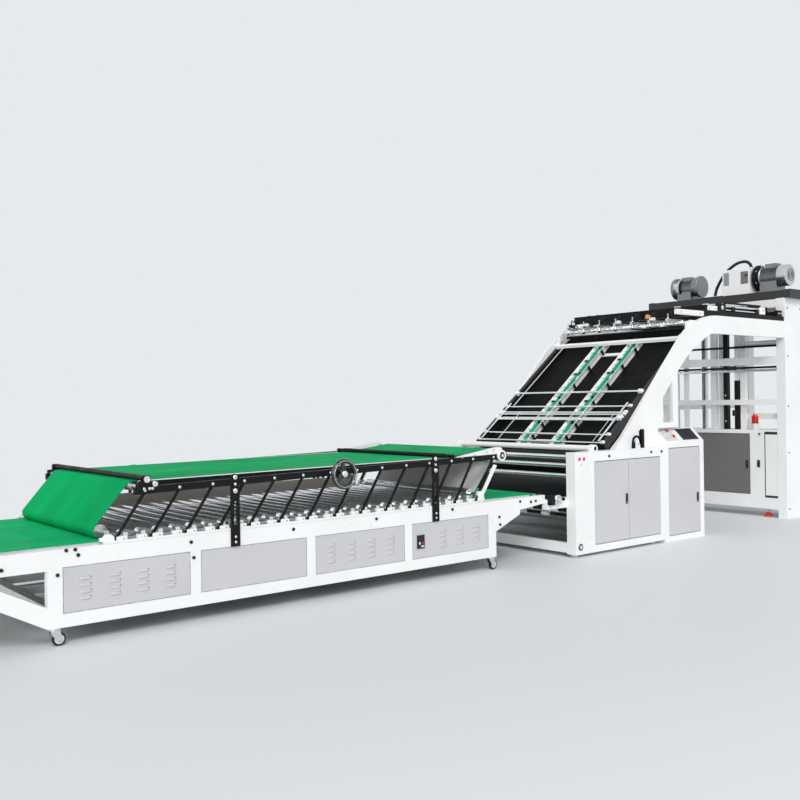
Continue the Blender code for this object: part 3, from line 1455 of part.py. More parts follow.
def motor(name, x, y_fan, length, radius):
    """A flange motor lying across the deck: fan cover, body, end shield and flange."""
    z = DECK_TOP + FIT + radius * MOTOR_LIFT
    profile = [(radius * out, length * along) for out, along in MOTOR_PROFILE]
    body = lathe(name, profile, (x, y_fan, z), 28)
    body.rotation_euler = (math.radians(-90), 0, 0)
    out, start, end, top = MOTOR_FOOT
    foot = box(name + "_foot", (x - radius * out, y_fan + length * start, DECK_TOP + FIT),
               (x + radius * out, y_fan + length * end, z + radius * top))
    out, start, end, bottom, top = MOTOR_BOX
    case = box(name + "_box", (x - radius * out, y_fan + length * start, z + radius * bottom),
               (x + radius * out, y_fan + length * end, z + radius * top))
    dress(join(body, foot, case), GREY)


def deck_machines():
    """Blower, vacuum pump with its hose, and drive motor, from the operator side inwards."""
    x = TOWER_LEFT + DECK_MACHINE_X
    pump_left = TOWER_LEFT + PUMP_X
    pump_near = -TOWER_HALF + PUMP_Y
    pump_far = pump_near + PUMP_W
    motor("blower_motor", x, -TOWER_HALF + BLOWER_Y, BLOWER_L, BLOWER_R)
    motor("drive_motor", x, pump_far + DRIVE_MOTOR_GAP, DRIVE_MOTOR_L, DRIVE_MOTOR_R)
    dress(box("vacuum_pump", (pump_left, pump_near, DECK_TOP + FIT),
              (pump_left + PUMP_L, pump_far, DECK_TOP + PUMP_H)), WHITE)
    curve = bpy.data.curves.new("vacuum_hose", "CURVE")
    curve.dimensions = "3D"
    curve.bevel_depth = HOSE_R
    curve.bevel_resolution = 2
    curve.use_fill_caps = True
    spline = curve.splines.new("POLY")
    spline.points.add(len(HOSE_ROUTE) - 1)
    for point, (out, height) in zip(spline.points, HOSE_ROUTE):
        point.co = (x, pump_far + out, DECK_TOP + height, 1.0)
    dress(link("vacuum_hose", curve), RUBBER)


deck_machines()
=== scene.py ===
"""The looks of the flute laminating machine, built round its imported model. Metres, +Z up."""

import itertools
import json
import math

import bmesh
import bpy
from mathutils import Matrix, Vector

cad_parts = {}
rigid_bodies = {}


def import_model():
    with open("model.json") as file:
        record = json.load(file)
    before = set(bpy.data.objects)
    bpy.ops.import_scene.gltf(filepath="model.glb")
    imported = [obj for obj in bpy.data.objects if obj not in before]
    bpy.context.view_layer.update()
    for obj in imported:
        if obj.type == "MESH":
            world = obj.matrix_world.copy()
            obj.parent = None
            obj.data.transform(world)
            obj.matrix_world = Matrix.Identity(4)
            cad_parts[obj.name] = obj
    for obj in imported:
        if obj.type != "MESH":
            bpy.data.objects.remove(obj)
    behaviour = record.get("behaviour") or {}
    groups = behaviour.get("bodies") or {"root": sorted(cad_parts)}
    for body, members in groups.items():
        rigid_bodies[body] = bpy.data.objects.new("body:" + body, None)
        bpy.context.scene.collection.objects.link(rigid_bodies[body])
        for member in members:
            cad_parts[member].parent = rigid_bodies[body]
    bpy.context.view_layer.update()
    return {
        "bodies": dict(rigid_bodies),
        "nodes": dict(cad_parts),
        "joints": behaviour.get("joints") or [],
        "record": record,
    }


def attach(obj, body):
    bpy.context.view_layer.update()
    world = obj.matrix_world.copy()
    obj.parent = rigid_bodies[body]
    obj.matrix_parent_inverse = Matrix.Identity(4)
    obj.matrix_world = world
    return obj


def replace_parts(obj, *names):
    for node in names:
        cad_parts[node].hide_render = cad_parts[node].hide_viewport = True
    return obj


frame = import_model()
NODES = frame["nodes"]

# Camera, floor and light. Angles are in degrees and places in metres, but the camera's lens
# and sensor are in millimetres. A sun is a name, a heading, a height, a strength and the
# angle it fills.

CAMERA_PLACE = Vector((-7.618, -7.142, 1.6))
CAMERA_HEADING = 39.08
CAMERA_ROLL = -0.8
CAMERA_LENS = 41.77
CAMERA_SENSOR = 36.0
CAMERA_REACH = 200.0
BACKDROP = (0.791, 0.823, 0.847)
FLOOR_HALF = 60.0
FLOOR_COLOUR = (0.75, 0.78, 0.80)
FLOOR_ROUGHNESS = 0.55
FADE_START = 3.4
FADE_END = 7.2
FADE_STRETCH = (0.55, 1.0, 1.0)
WORLD_LEVEL = 0.52
SUNS = (("key", -30, 42, 1.38, 24), ("fill", -55, 12, 1.2, 40))


def make_camera():
    data = bpy.data.cameras.new("photo_camera")
    data.lens = CAMERA_LENS
    data.sensor_width = CAMERA_SENSOR
    data.clip_end = CAMERA_REACH
    camera = bpy.data.objects.new("photo_camera", data)
    bpy.context.scene.collection.objects.link(camera)
    look = Matrix.Translation(CAMERA_PLACE)
    for degrees, axis in ((-CAMERA_HEADING, "Z"), (90, "X"), (CAMERA_ROLL, "Z")):
        look = look @ Matrix.Rotation(math.radians(degrees), 4, axis)
    camera.matrix_world = look
    bpy.context.scene.camera = camera


def feed(tree, node, inputs):
    """Sets inputs, given as (socket, value). A value may be another node's output."""
    for socket, value in inputs:
        if isinstance(value, bpy.types.NodeSocket):
            tree.links.new(value, node.inputs[socket])
        else:
            node.inputs[socket].default_value = value


def wire(tree, kind, *inputs, **settings):
    """A new node of a tree, with its settings and what feeds it."""
    node = tree.nodes.new(kind)
    for name, value in settings.items():
        setattr(node, name, value)
    feed(tree, node, inputs)
    return node


def seen_directly(tree):
    """One where a ray comes from the camera, a mirror or glass, and zero elsewhere."""
    path = wire(tree, "ShaderNodeLightPath").outputs
    seen = path["Is Camera Ray"]
    for kind in ("Is Glossy Ray", "Is Transmission Ray"):
        either = wire(tree, "ShaderNodeMath", (0, seen), (1, path[kind]), operation="MAXIMUM")
        seen = either.outputs[0]
    return seen


def make_world():
    """White light on the machine, and the photo's backdrop where nothing stands."""
    world = bpy.data.worlds.new("studio")
    bpy.context.scene.world = world
    world.use_nodes = True
    tree = world.node_tree
    light = tree.nodes["Background"]
    feed(tree, light, (("Color", (1.0, 1.0, 1.0, 1.0)), ("Strength", WORLD_LEVEL)))
    backdrop = wire(tree, "ShaderNodeBackground", ("Color", (*BACKDROP, 1.0)))
    mix = wire(tree, "ShaderNodeMixShader", ("Fac", seen_directly(tree)),
               (1, light.outputs["Background"]), (2, backdrop.outputs["Background"]))
    feed(tree, tree.nodes["World Output"], (("Surface", mix.outputs["Shader"]),))


def make_floor():
    """A pale floor that fades into the backdrop away from the machine."""
    mesh = bpy.data.meshes.new("floor")
    half = FLOOR_HALF
    corners = [(-half, -half, 0), (half, -half, 0), (half, half, 0), (-half, half, 0)]
    mesh.from_pydata(corners, [], [(0, 1, 2, 3)])
    floor = bpy.data.objects.new("floor", mesh)
    bpy.context.scene.collection.objects.link(floor)
    material = bpy.data.materials.new("floor")
    material.use_nodes = True
    tree = material.node_tree
    ground = tree.nodes["Principled BSDF"]
    feed(tree, ground, (("Base Color", (*FLOOR_COLOUR, 1.0)), ("Roughness", FLOOR_ROUGHNESS)))
    far = wire(tree, "ShaderNodeEmission", ("Color", (*BACKDROP, 1.0)))
    place = wire(tree, "ShaderNodeTexCoord").outputs["Object"]
    squeezed = wire(tree, "ShaderNodeMapping", ("Vector", place), ("Scale", FADE_STRETCH))
    length = wire(tree, "ShaderNodeVectorMath", (0, squeezed.outputs["Vector"]),
                  operation="LENGTH")
    fade = wire(tree, "ShaderNodeMapRange", ("Value", length.outputs["Value"]),
                ("From Min", FADE_START), ("From Max", FADE_END),
                interpolation_type="SMOOTHSTEP")
    both = wire(tree, "ShaderNodeMath", (0, fade.outputs["Result"]), (1, seen_directly(tree)),
                operation="MULTIPLY")
    mix = wire(tree, "ShaderNodeMixShader", ("Fac", both.outputs[0]),
               (1, ground.outputs["BSDF"]), (2, far.outputs["Emission"]))
    feed(tree, tree.nodes["Material Output"], (("Surface", mix.outputs["Shader"]),))
    mesh.materials.append(material)


def make_sun(name, heading, height, strength, softness):
    """A soft far lamp. The heading is where its light comes from, from -Y towards +X."""
    data = bpy.data.lights.new(name, "SUN")
    data.energy = strength
    data.angle = math.radians(softness)
    lamp = bpy.data.objects.new(name, data)
    bpy.context.scene.collection.objects.link(lamp)
    turn = math.radians(heading)
    rise = math.radians(height)
    toward = Vector((math.sin(turn) * math.cos(rise), -math.cos(turn) * math.cos(rise),
                     math.sin(rise)))
    lamp.rotation_euler = toward.to_track_quat("Z", "Y").to_euler()


make_camera()
make_world()
make_floor()
for sun in SUNS:
    make_sun(*sun)
bpy.context.scene.view_settings.view_transform = "Standard"

# Materials

PLATE_Y = 0.862
RAIL_Y = 0.9045
BEVEL_SAMPLES = 4
BELT_IOR = 1.12
MIX_A, MIX_B, MIX_RESULT = 6, 7, 2    # the colour sockets of a Mix node
SPREAD = (0.3, 0.7)                   # the part of a noise's range that is used


class Finish:
    """A Principled material, with short calls for the nodes that feed it."""

    def __init__(self, name, colour, roughness, metallic=0.0):
        self.material = bpy.data.materials.new(name)
        self.material.use_nodes = True
        self.tree = self.material.node_tree
        self.shader = self.tree.nodes["Principled BSDF"]
        self.set("Base Color", (*colour, 1.0))
        self.set("Roughness", roughness)
        self.set("Metallic", metallic)
        self.place = self.wire("ShaderNodeTexCoord").outputs["Object"]

    def wire(self, kind, *inputs, **settings):
        return wire(self.tree, kind, *inputs, **settings)

    def set(self, socket, value):
        """Sets a socket of the shader to a value, or joins it to a node's output."""
        feed(self.tree, self.shader, ((socket, value),))

    def noise(self, scale, detail=4.0, stretch=(1.0, 1.0, 1.0)):
        """Noise from 0 to 1 over the object's own place, drawn out where stretch is small."""
        mapping = self.wire("ShaderNodeMapping", ("Vector", self.place), ("Scale", stretch))
        return self.wire("ShaderNodeTexNoise", ("Vector", mapping.outputs["Vector"]),
                         ("Scale", scale), ("Detail", detail)).outputs["Fac"]

    def remap(self, value, low, high, to_low=0.0, to_high=1.0):
        return self.wire("ShaderNodeMapRange", ("Value", value), ("From Min", low),
                         ("From Max", high), ("To Min", to_low), ("To Max", to_high),
                         interpolation_type="SMOOTHSTEP").outputs["Result"]

    def math(self, operation, first, second):
        return self.wire("ShaderNodeMath", (0, first), (1, second),
                         operation=operation).outputs[0]

    def vector(self, operation, first, second, output):
        return self.wire("ShaderNodeVectorMath", (0, first), (1, second),
                         operation=operation).outputs[output]

    def blend(self, share, first, second):
        """The first colour where share is 0, the second where it is 1."""
        first, second = ((*colour, 1.0) if isinstance(colour, tuple) else colour
                         for colour in (first, second))
        return self.wire("ShaderNodeMix", ("Factor", share), (MIX_A, first), (MIX_B, second),
                         data_type="RGBA").outputs[MIX_RESULT]

    def axis(self, letter, vector=None):
        """One part of the object's own place, or of another vector."""
        return self.wire("ShaderNodeSeparateXYZ",
                         ("Vector", vector or self.place)).outputs[letter]

    def rounded(self, radius):
        """Normals that round the edges off."""
        return self.wire("ShaderNodeBevel", ("Radius", radius),
                         samples=BEVEL_SAMPLES).outputs["Normal"]

    def flat(self):
        """The faces' own normals."""
        return self.wire("ShaderNodeNewGeometry").outputs["True Normal"]

    def bump(self, height, strength, distance, rounding=0.0):
        inputs = [("Height", height), ("Strength", strength), ("Distance", distance)]
        if rounding:
            inputs.append(("Normal", self.rounded(rounding)))
        self.set("Normal", self.wire("ShaderNodeBump", *inputs).outputs["Normal"])

    def edges(self, radius):
        """One along sharp edges, from how far a rounded normal leans from the real one."""
        same = self.vector("DOT_PRODUCT", self.rounded(radius), self.flat(), "Value")
        return self.remap(same, 0.97, 0.80)


def shade(colour, factor):
    return tuple(channel * factor for channel in colour)


def enamel(name, colour, roughness, wear=None, gloss=0.5, coat=0.2):
    """Sprayed enamel with a slight orange peel and a little uneven cleaning."""
    finish = Finish(name, colour, roughness)
    finish.set("Specular IOR Level", gloss)
    cloud = finish.remap(finish.noise(1.7, 5), 0.35, 0.68)
    tone = finish.blend(cloud, shade(colour, 0.965), shade(colour, 1.02))
    if wear:
        rub = finish.math("MULTIPLY", finish.edges(0.003),
                          finish.remap(finish.noise(38, 3), 0.45, 0.62))
        tone = finish.blend(rub, tone, wear)
    finish.set("Base Color", tone)
    finish.set("Roughness", finish.remap(finish.noise(9, 4), *SPREAD, roughness - 0.05,
                                         roughness + 0.08))
    finish.set("Coat Weight", coat)
    finish.set("Coat Roughness", 0.15)
    finish.bump(finish.noise(420, 2), 0.08, 0.0006, 0.003)
    return finish.material


def press_roller_steel_painted_light():
    """Ground rollers, and the beige plate behind them, past PLATE_Y, both painted light: lighter
    than their own colour, where they lie in shade under the belt.
    """
    finish = Finish("press_roller_steel_painted_light", (0.66, 0.67, 0.69), 0.2)
    marks = finish.noise(60, 4, (1.0, 8.0, 1.0))
    plate = finish.math("GREATER_THAN", finish.axis("Y"), PLATE_Y)
    cloud = finish.remap(finish.noise(3.1, 4), *SPREAD)
    # Painted light: the rollers' steel is far lighter than the plain roller steel, as if lit in
    # the shade under the belt.
    painted_lit_steel = finish.blend(cloud, (0.86, 0.87, 0.89), (0.95, 0.955, 0.96))
    # Painted light: the plate's beige is painted lighter than its own tone, for light that the
    # shade under the belt keeps off.
    finish.set("Base Color", finish.blend(plate, painted_lit_steel, (0.90, 0.83, 0.76)))
    finish.set("Metallic", finish.remap(plate, 0.0, 1.0, 1.0, 0.0))
    finish.set("Roughness", finish.remap(marks, *SPREAD, 0.14, 0.30))
    finish.bump(marks, 0.1, 0.0004, 0.002)
    return finish.material


def texture_paint(name, colour, roughness):
    """Powder coat with a fine hammered grain."""
    finish = Finish(name, colour, roughness)
    grain = finish.noise(900, 2)
    cloud = finish.remap(finish.noise(2.3, 5), 0.32, 0.7)
    tone = finish.blend(cloud, shade(colour, 0.95), shade(colour, 1.03))
    speck = finish.blend(finish.remap(grain, *SPREAD), shade(colour, 0.9), tone)
    finish.set("Base Color", speck)
    finish.set("Roughness", finish.remap(grain, *SPREAD, roughness - 0.06, roughness + 0.06))
    finish.bump(grain, 0.25, 0.0006, 0.003)
    return finish.material


def steel(name, colour, roughness, stretch, scale=90):
    """Ground steel, its marks drawn out along the axis where stretch is small."""
    finish = Finish(name, colour, roughness, 1.0)
    marks = finish.noise(scale, 4, stretch)
    cloud = finish.remap(finish.noise(3.1, 4), *SPREAD)
    finish.set("Base Color", finish.blend(cloud, shade(colour, 0.86), shade(colour, 1.06)))
    finish.set("Roughness", finish.remap(marks, *SPREAD, roughness - 0.07, roughness + 0.12))
    finish.bump(marks, 0.12, 0.0004, 0.002)
    return finish.material


def belt(name, colour, centre, backing):
    """PVC belt: fine emboss on the green face, pale cloth on the face towards the centre, and
    painted shade, a dark grey-green, on faces that point down.
    """
    finish = Finish(name, colour, 0.5)
    finish.set("IOR", BELT_IOR)
    finish.set("Specular IOR Level", 0.1)
    along = finish.remap(finish.noise(1.2, 4, (0.5, 2.5, 0.5)), *SPREAD)
    tone = finish.blend(along, shade(colour, 0.88), shade(colour, 1.12))
    scuff = finish.remap(finish.noise(14, 6, (0.25, 2.0, 0.25)), 0.62, 0.76, 0.0, 0.05)
    tone = finish.blend(scuff, tone, (0.20, 0.52, 0.34))
    away = finish.vector("SUBTRACT", finish.place, centre, "Vector")
    real = finish.flat()
    inside = finish.math("LESS_THAN",
                         finish.vector("DOT_PRODUCT", away, real, "Value"), 0.0)
    # Faces that point down are painted a dark grey-green: painted shade under the belts.
    under = finish.math("LESS_THAN", finish.axis("Z", real), -0.9)
    tone = finish.blend(under, tone, PAINTED_SHADE_BELOW)
    finish.set("Base Color", finish.blend(inside, tone, backing))
    finish.set("Roughness", finish.remap(finish.noise(5, 4), *SPREAD, 0.46, 0.60))
    finish.bump(finish.noise(700, 1), 0.15, 0.0005)
    return finish.material


def rubber(name, colour=(0.014, 0.014, 0.015)):
    finish = Finish(name, colour, 0.6)
    finish.set("Specular IOR Level", 0.3)
    dust = finish.remap(finish.noise(24, 5), 0.5, 0.75, 0.0, 0.5)
    finish.set("Base Color", finish.blend(dust, colour, shade(colour, 3.0)))
    finish.bump(finish.noise(300, 2), 0.2, 0.0006, 0.002)
    return finish.material


def plastic(name, colour, roughness=0.3, coat=0.3):
    finish = Finish(name, colour, roughness)
    finish.set("Specular IOR Level", 0.35)
    finish.set("Roughness", finish.remap(finish.noise(30, 3), *SPREAD, roughness,
                                         roughness + 0.1))
    finish.set("Coat Weight", coat)
    finish.bump(finish.noise(600, 1), 0.05, 0.0004, 0.001)
    return finish.material


def table_steel():
    """Chromed rods, and black rails past RAIL_Y on both sides, which carry their ends."""
    finish = Finish("table_steel", (0.86, 0.87, 0.88), 0.14)
    aside = finish.math("ABSOLUTE", finish.axis("Y"), 0.0)
    rail = finish.math("GREATER_THAN", aside, RAIL_Y)
    marks = finish.noise(90, 4, ALONG_Y)
    finish.set("Base Color", finish.blend(rail, (0.84, 0.85, 0.86), BLACK_COLOUR))
    finish.set("Metallic", finish.math("SUBTRACT", 1.0, rail))
    rough = finish.remap(marks, *SPREAD, 0.08, 0.26)
    finish.set("Roughness", finish.math("ADD", rough, finish.math("MULTIPLY", rail, 0.35)))
    finish.bump(marks, 0.1, 0.0004, 0.002)
    return finish.material


EVEN = (1.0, 1.0, 1.0)
ALONG_Y = (1.0, 0.03, 1.0)
ROUND_Y = (1.0, 6.0, 1.0)
UPPER_CENTRE = (-3.3, 0.0, 0.86)
LOWER_CENTRE = (-3.5, 0.0, 0.60)
STRAP_CENTRE = (0.5, 0.0, -9.0)
CLOTH = (0.60, 0.61, 0.60)
# Painted shade: the dark grey-green of the belts' downward faces.
PAINTED_SHADE_BELOW = (0.13, 0.17, 0.15)

BLACK_COLOUR = (0.009, 0.009, 0.0095)
WHITE_COLOUR = (0.87, 0.875, 0.88)

WHITE = enamel("white_enamel", WHITE_COLOUR, 0.32)
GREY_SHEET = texture_paint("grey_powder_coat", (0.60, 0.60, 0.615), 0.5)
DARK_SHEET = texture_paint("dark_powder_coat", (0.030, 0.031, 0.031), 0.5)
DOOR_SHEET = texture_paint("tower_door_coat", (0.165, 0.155, 0.158), 0.5)
BLACK = enamel("black_enamel", BLACK_COLOUR, 0.45, (0.12, 0.12, 0.12), 0.15, 0.0)
BOARD = enamel("black_table", (0.004, 0.0045, 0.0045), 0.6, None, 0.08, 0.0)
TABLE_STEEL = table_steel()
HANDWHEEL_BLACK = enamel("handwheel_enamel", (0.004, 0.004, 0.0045), 0.14, None, 0.5, 0.8)
CHROME = steel("chromed_rod", (0.86, 0.87, 0.88), 0.14, ALONG_Y)
ROLLER = steel("ground_roller", (0.66, 0.67, 0.69), 0.20, ROUND_Y)
PRESS_ROLLER_PAINTED_LIGHT = press_roller_steel_painted_light()
ZINC = steel("zinc_plate", (0.74, 0.75, 0.76), 0.28, EVEN, 40)
TRAY_STEEL = steel("tray_sheet", (0.40, 0.40, 0.41), 0.32, ALONG_Y, 60)
CASTING = steel("motor_casting", (0.30, 0.305, 0.315), 0.40, EVEN, 60)
SILVER = steel("fan_cover", (0.66, 0.67, 0.69), 0.26, EVEN, 50)
UPPER_BELT = belt("green_belt_upper", (0.003, 0.36, 0.115), UPPER_CENTRE, CLOTH)
LOWER_BELT = belt("green_belt_lower", (0.006, 0.42, 0.150), LOWER_CENTRE, CLOTH)
STRAP = belt("green_strap", (0.02, 0.34, 0.19), STRAP_CENTRE, CLOTH)
RUBBER = rubber("black_rubber")
DARK_ROLLER = plastic("dark_roller", (0.008, 0.009, 0.012), 0.3, 0.0)
RED = plastic("red_lens", (0.62, 0.02, 0.012), 0.12)
AMBER = plastic("amber_lens", (0.75, 0.22, 0.03), 0.2)
RED_BUTTON = plastic("red_button", (0.65, 0.03, 0.02), 0.3)
DARK_PLASTIC = plastic("black_plastic", (0.010, 0.010, 0.011), 0.35)
WHITE_PLASTIC = plastic("pale_plastic", (0.62, 0.63, 0.63), 0.35)
SCREEN = plastic("touch_panel", (0.004, 0.004, 0.012), 0.42, 0.0)
PANEL_PLATE = texture_paint("button_plate", (0.66, 0.67, 0.68), 0.4)
SCREW_BLACK = enamel("blackened_screw", (0.012, 0.012, 0.012), 0.38, (0.2, 0.2, 0.2), 0.4, 0.0)
SEAL_GREY = rubber("grey_seal", (0.30, 0.30, 0.31))
SEAL_BLACK = rubber("black_seal", (0.03, 0.03, 0.03))
GRILLE = texture_paint("grille_grey", (0.34, 0.34, 0.35), 0.45)
CHAIN = steel("oiled_chain", (0.10, 0.095, 0.09), 0.35, EVEN, 80)

FINISHES = (
    (GREY_SHEET, ("press_panels", "unit_door", "control_door")),
    (DARK_SHEET, ("tower_deck",)), (DOOR_SHEET, ("tower_door",)),
    (BLACK, ("upper_frame", "guide_bar", "feeder_carriage")),
    (HANDWHEEL_BLACK, ("handwheel",)), (TRAY_STEEL, ("glue_tray",)),
    (BOARD, ("incline_board",)), (TABLE_STEEL, ("incline_rods",)), (CHROME, ("entry_rods",)),
    (STRAP, ("incline_belt",)), (UPPER_BELT, ("upper_belt",)),
    (ROLLER, ("lower_belt_roller", "upper_roller")),
    (ZINC, ("lower_belt_bed", "caster_fork", "feeder_head")), (LOWER_BELT, ("lower_belt",)),
    (PRESS_ROLLER_PAINTED_LIGHT, ("press_rollers",)), (DARK_ROLLER, ("glue_roller",)),
    (RUBBER, ("nip_roller", "caster_wheel", "vacuum_hose")), (RED, ("beacon",)),
    (CASTING, ("blower_motor", "drive_motor")),
)


def finish_of(node):
    """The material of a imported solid. What isn't listed is white."""
    for material, starts in FINISHES:
        if node.startswith(starts):
            return material
    return WHITE


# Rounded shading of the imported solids

WELD = 0.00005
ROUND_ANGLE = math.radians(34)


def soft_shading():
    """A modifier that joins the facets of a round face, and leaves real edges sharp."""
    group = bpy.data.node_groups.new("soft_shading", "GeometryNodeTree")
    for way in ("INPUT", "OUTPUT"):
        group.interface.new_socket("Geometry", in_out=way, socket_type="NodeSocketGeometry")
    shape = wire(group, "NodeGroupInput").outputs["Geometry"]
    plain = wire(group, "GeometryNodeRemoveAttribute", ("Geometry", shape),
                 ("Name", "custom_normal"))
    weld = wire(group, "GeometryNodeMergeByDistance",
                ("Geometry", plain.outputs["Geometry"]), ("Distance", WELD))
    angle = wire(group, "GeometryNodeInputMeshEdgeAngle").outputs["Unsigned Angle"]
    gentle = wire(group, "FunctionNodeCompare", ("A", angle), ("B", ROUND_ANGLE),
                  operation="LESS_THAN")
    faces = wire(group, "GeometryNodeSetShadeSmooth", ("Geometry", weld.outputs["Geometry"]))
    edges = wire(group, "GeometryNodeSetShadeSmooth",
                 ("Geometry", faces.outputs["Geometry"]),
                 ("Shade Smooth", gentle.outputs["Result"]), domain="EDGE")
    wire(group, "NodeGroupOutput", ("Geometry", edges.outputs["Geometry"]))
    return group


SOFT_SHADING = soft_shading()
for name, obj in NODES.items():
    obj.data.materials.clear()
    obj.data.materials.append(finish_of(name))
    modifier = obj.modifiers.new("soft_shading", "NODES")
    modifier.node_group = SOFT_SHADING

# Detail pieces

PLAIN = Matrix.Identity(4)
MIRROR = Matrix.Diagonal((1, -1, 1, 1))
SIDES = (("near", MIRROR), ("far", PLAIN))
OUT = (0, 1, 0)
NEAR = (0, -1, 0)
UP = (0, 0, 1)
LEFT = (-1, 0, 0)
SHARP_ANGLE = math.radians(35)
DOME_STEPS = 5
HOOD_ROWS = 5
HOOD_COLUMNS = 9


def spokes(axis, sides):
    """Unit vectors round an axis, evenly turned."""
    across = axis.orthogonal().normalized()
    other = axis.cross(across)
    turns = [2 * math.pi * k / sides for k in range(sides)]
    return [across * math.cos(turn) + other * math.sin(turn) for turn in turns]


class Piece:
    """One visible piece, gathered from chamfered, turned, cut and swept forms."""

    def __init__(self, frame):
        self.mesh = bmesh.new()
        self.materials = []
        self.index = 0
        self.frame = frame

    def paint(self, material):
        """What comes next is made of this material."""
        if material not in self.materials:
            self.materials.append(material)
        self.index = self.materials.index(material)

    def put(self, frame):
        """What comes next is drawn in this frame."""
        self.frame = frame

    def add(self, points, faces):
        made = [self.mesh.verts.new(self.frame @ Vector(point)) for point in points]
        for face in faces:
            new = self.mesh.faces.new([made[i] for i in face])
            new.material_index = self.index
            new.smooth = True

    def tubes(self, rings, closed=False):
        """Faces between rings of points, with an end face on each end of an open tube."""
        sides = len(rings[0])
        count = len(rings)
        faces = []
        for ring in range(count if closed else count - 1):
            after = (ring + 1) % count
            for k in range(sides):
                beside = (k + 1) % sides
                faces.append((ring * sides + k, ring * sides + beside,
                              after * sides + beside, after * sides + k))
        if not closed:
            faces += [tuple(range(sides)), tuple(range((count - 1) * sides, count * sides))]
        self.add([point for ring in rings for point in ring], faces)

    def box(self, low, high, chamfer=0.0015):
        """A block with every edge chamfered."""
        corners = list(itertools.product((0, 1), repeat=3))
        points = []
        place = {}
        for corner in corners:
            for axis in range(3):
                inset = [0.0 if k == axis else chamfer for k in range(3)]
                place[corner, axis] = len(points)
                points.append([high[k] - inset[k] if corner[k] else low[k] + inset[k]
                               for k in range(3)])
        faces = [[place[corner, axis] for axis in range(3)] for corner in corners]
        for axis in range(3):
            first, second = [k for k in range(3) if k != axis]

            def at(along, a, b):
                corner = [along] * 3
                corner[first] = a
                corner[second] = b
                return tuple(corner)

            for side in (0, 1):
                faces.append([place[at(side, a, b), axis]
                              for a, b in ((0, 0), (0, 1), (1, 1), (1, 0))])
            for a, b in itertools.product((0, 1), repeat=2):
                faces.append([place[at(0, a, b), first], place[at(1, a, b), first],
                              place[at(1, a, b), second], place[at(0, a, b), second]])
        self.add(points, faces)

    def lathe(self, foot, direction, profile, sides=24):
        """A turned form. The profile lists (distance along the axis, radius).

        Its facets start at the same turn in a mirrored frame as in a plain one.
        """
        axis = Vector(direction).normalized()
        flip = (MIRROR if self.frame.is_negative else PLAIN).to_3x3()
        around = [flip @ spoke for spoke in spokes(flip @ axis, sides)]
        self.tubes([[Vector(foot) + axis * along + spoke * radius for spoke in around]
                    for along, radius in profile])

    def rod(self, start, end, radius, sides=20):
        length = (Vector(end) - Vector(start)).length
        soft = min(0.12 * radius, 0.002)
        self.lathe(start, Vector(end) - Vector(start),
                   ((0, radius - soft), (soft, radius), (length - soft, radius),
                    (length, radius - soft)), sides)

    def sweep(self, path, radius, sides=12, ripple=0.0):
        """A round tube along a line of points, ribbed where ripple isn't zero."""
        path = [Vector(point) for point in path]
        last = len(path) - 1
        across = (path[1] - path[0]).orthogonal().normalized()
        rings = []
        for k, centre in enumerate(path):
            way = (path[min(k + 1, last)] - path[max(k - 1, 0)]).normalized()
            across = (across - way * across.dot(way)).normalized()
            other = way.cross(across)
            grown = radius + (ripple if k % 2 else -ripple)
            turns = [2 * math.pi * j / sides for j in range(sides)]
            rings.append([centre + (across * math.cos(turn) + other * math.sin(turn)) * grown
                          for turn in turns])
        self.tubes(rings)

    def ring(self, centre, direction, radius, thick, steps=64, sides=16):
        """A closed round rim."""
        axis = Vector(direction).normalized()
        rolls = [2 * math.pi * j / sides for j in range(sides)]
        self.tubes([[Vector(centre) + spoke * (radius + thick * math.cos(roll))
                     + axis * thick * math.sin(roll) for roll in rolls]
                    for spoke in spokes(axis, steps)], closed=True)

    def slab(self, outline, low, high):
        """An outline in x and z, made thick along y."""
        self.tubes([[(x, y, z) for x, z in outline] for y in (low, high)])

    def socket_screw(self, place, direction, radius, height):
        """A cap screw with a hole for its key."""
        self.lathe(place, direction, ((0, radius), (0.85 * height, radius),
                                      (height, 0.88 * radius), (height, 0.52 * radius),
                                      (0.45 * height, 0.5 * radius)), 18)

    def hex_bolt(self, place, direction, radius, height):
        """A washer under a six-sided head."""
        self.lathe(place, direction, ((0, 1.5 * radius), (0.22 * height, 1.5 * radius),
                                      (0.28 * height, 1.42 * radius)), 20)
        self.lathe(place, direction, ((0.28 * height, 0.97 * radius), (0.9 * height, radius),
                                      (height, 0.86 * radius)), 6)

    def dome(self, place, direction, radius, height):
        """A button head."""
        turns = [0.5 * math.pi * k / DOME_STEPS for k in range(DOME_STEPS)]
        self.lathe(place, direction,
                   [(0, radius)] + [(height * (0.2 + 0.8 * math.sin(turn)),
                                     radius * math.cos(turn)) for turn in turns], 20)

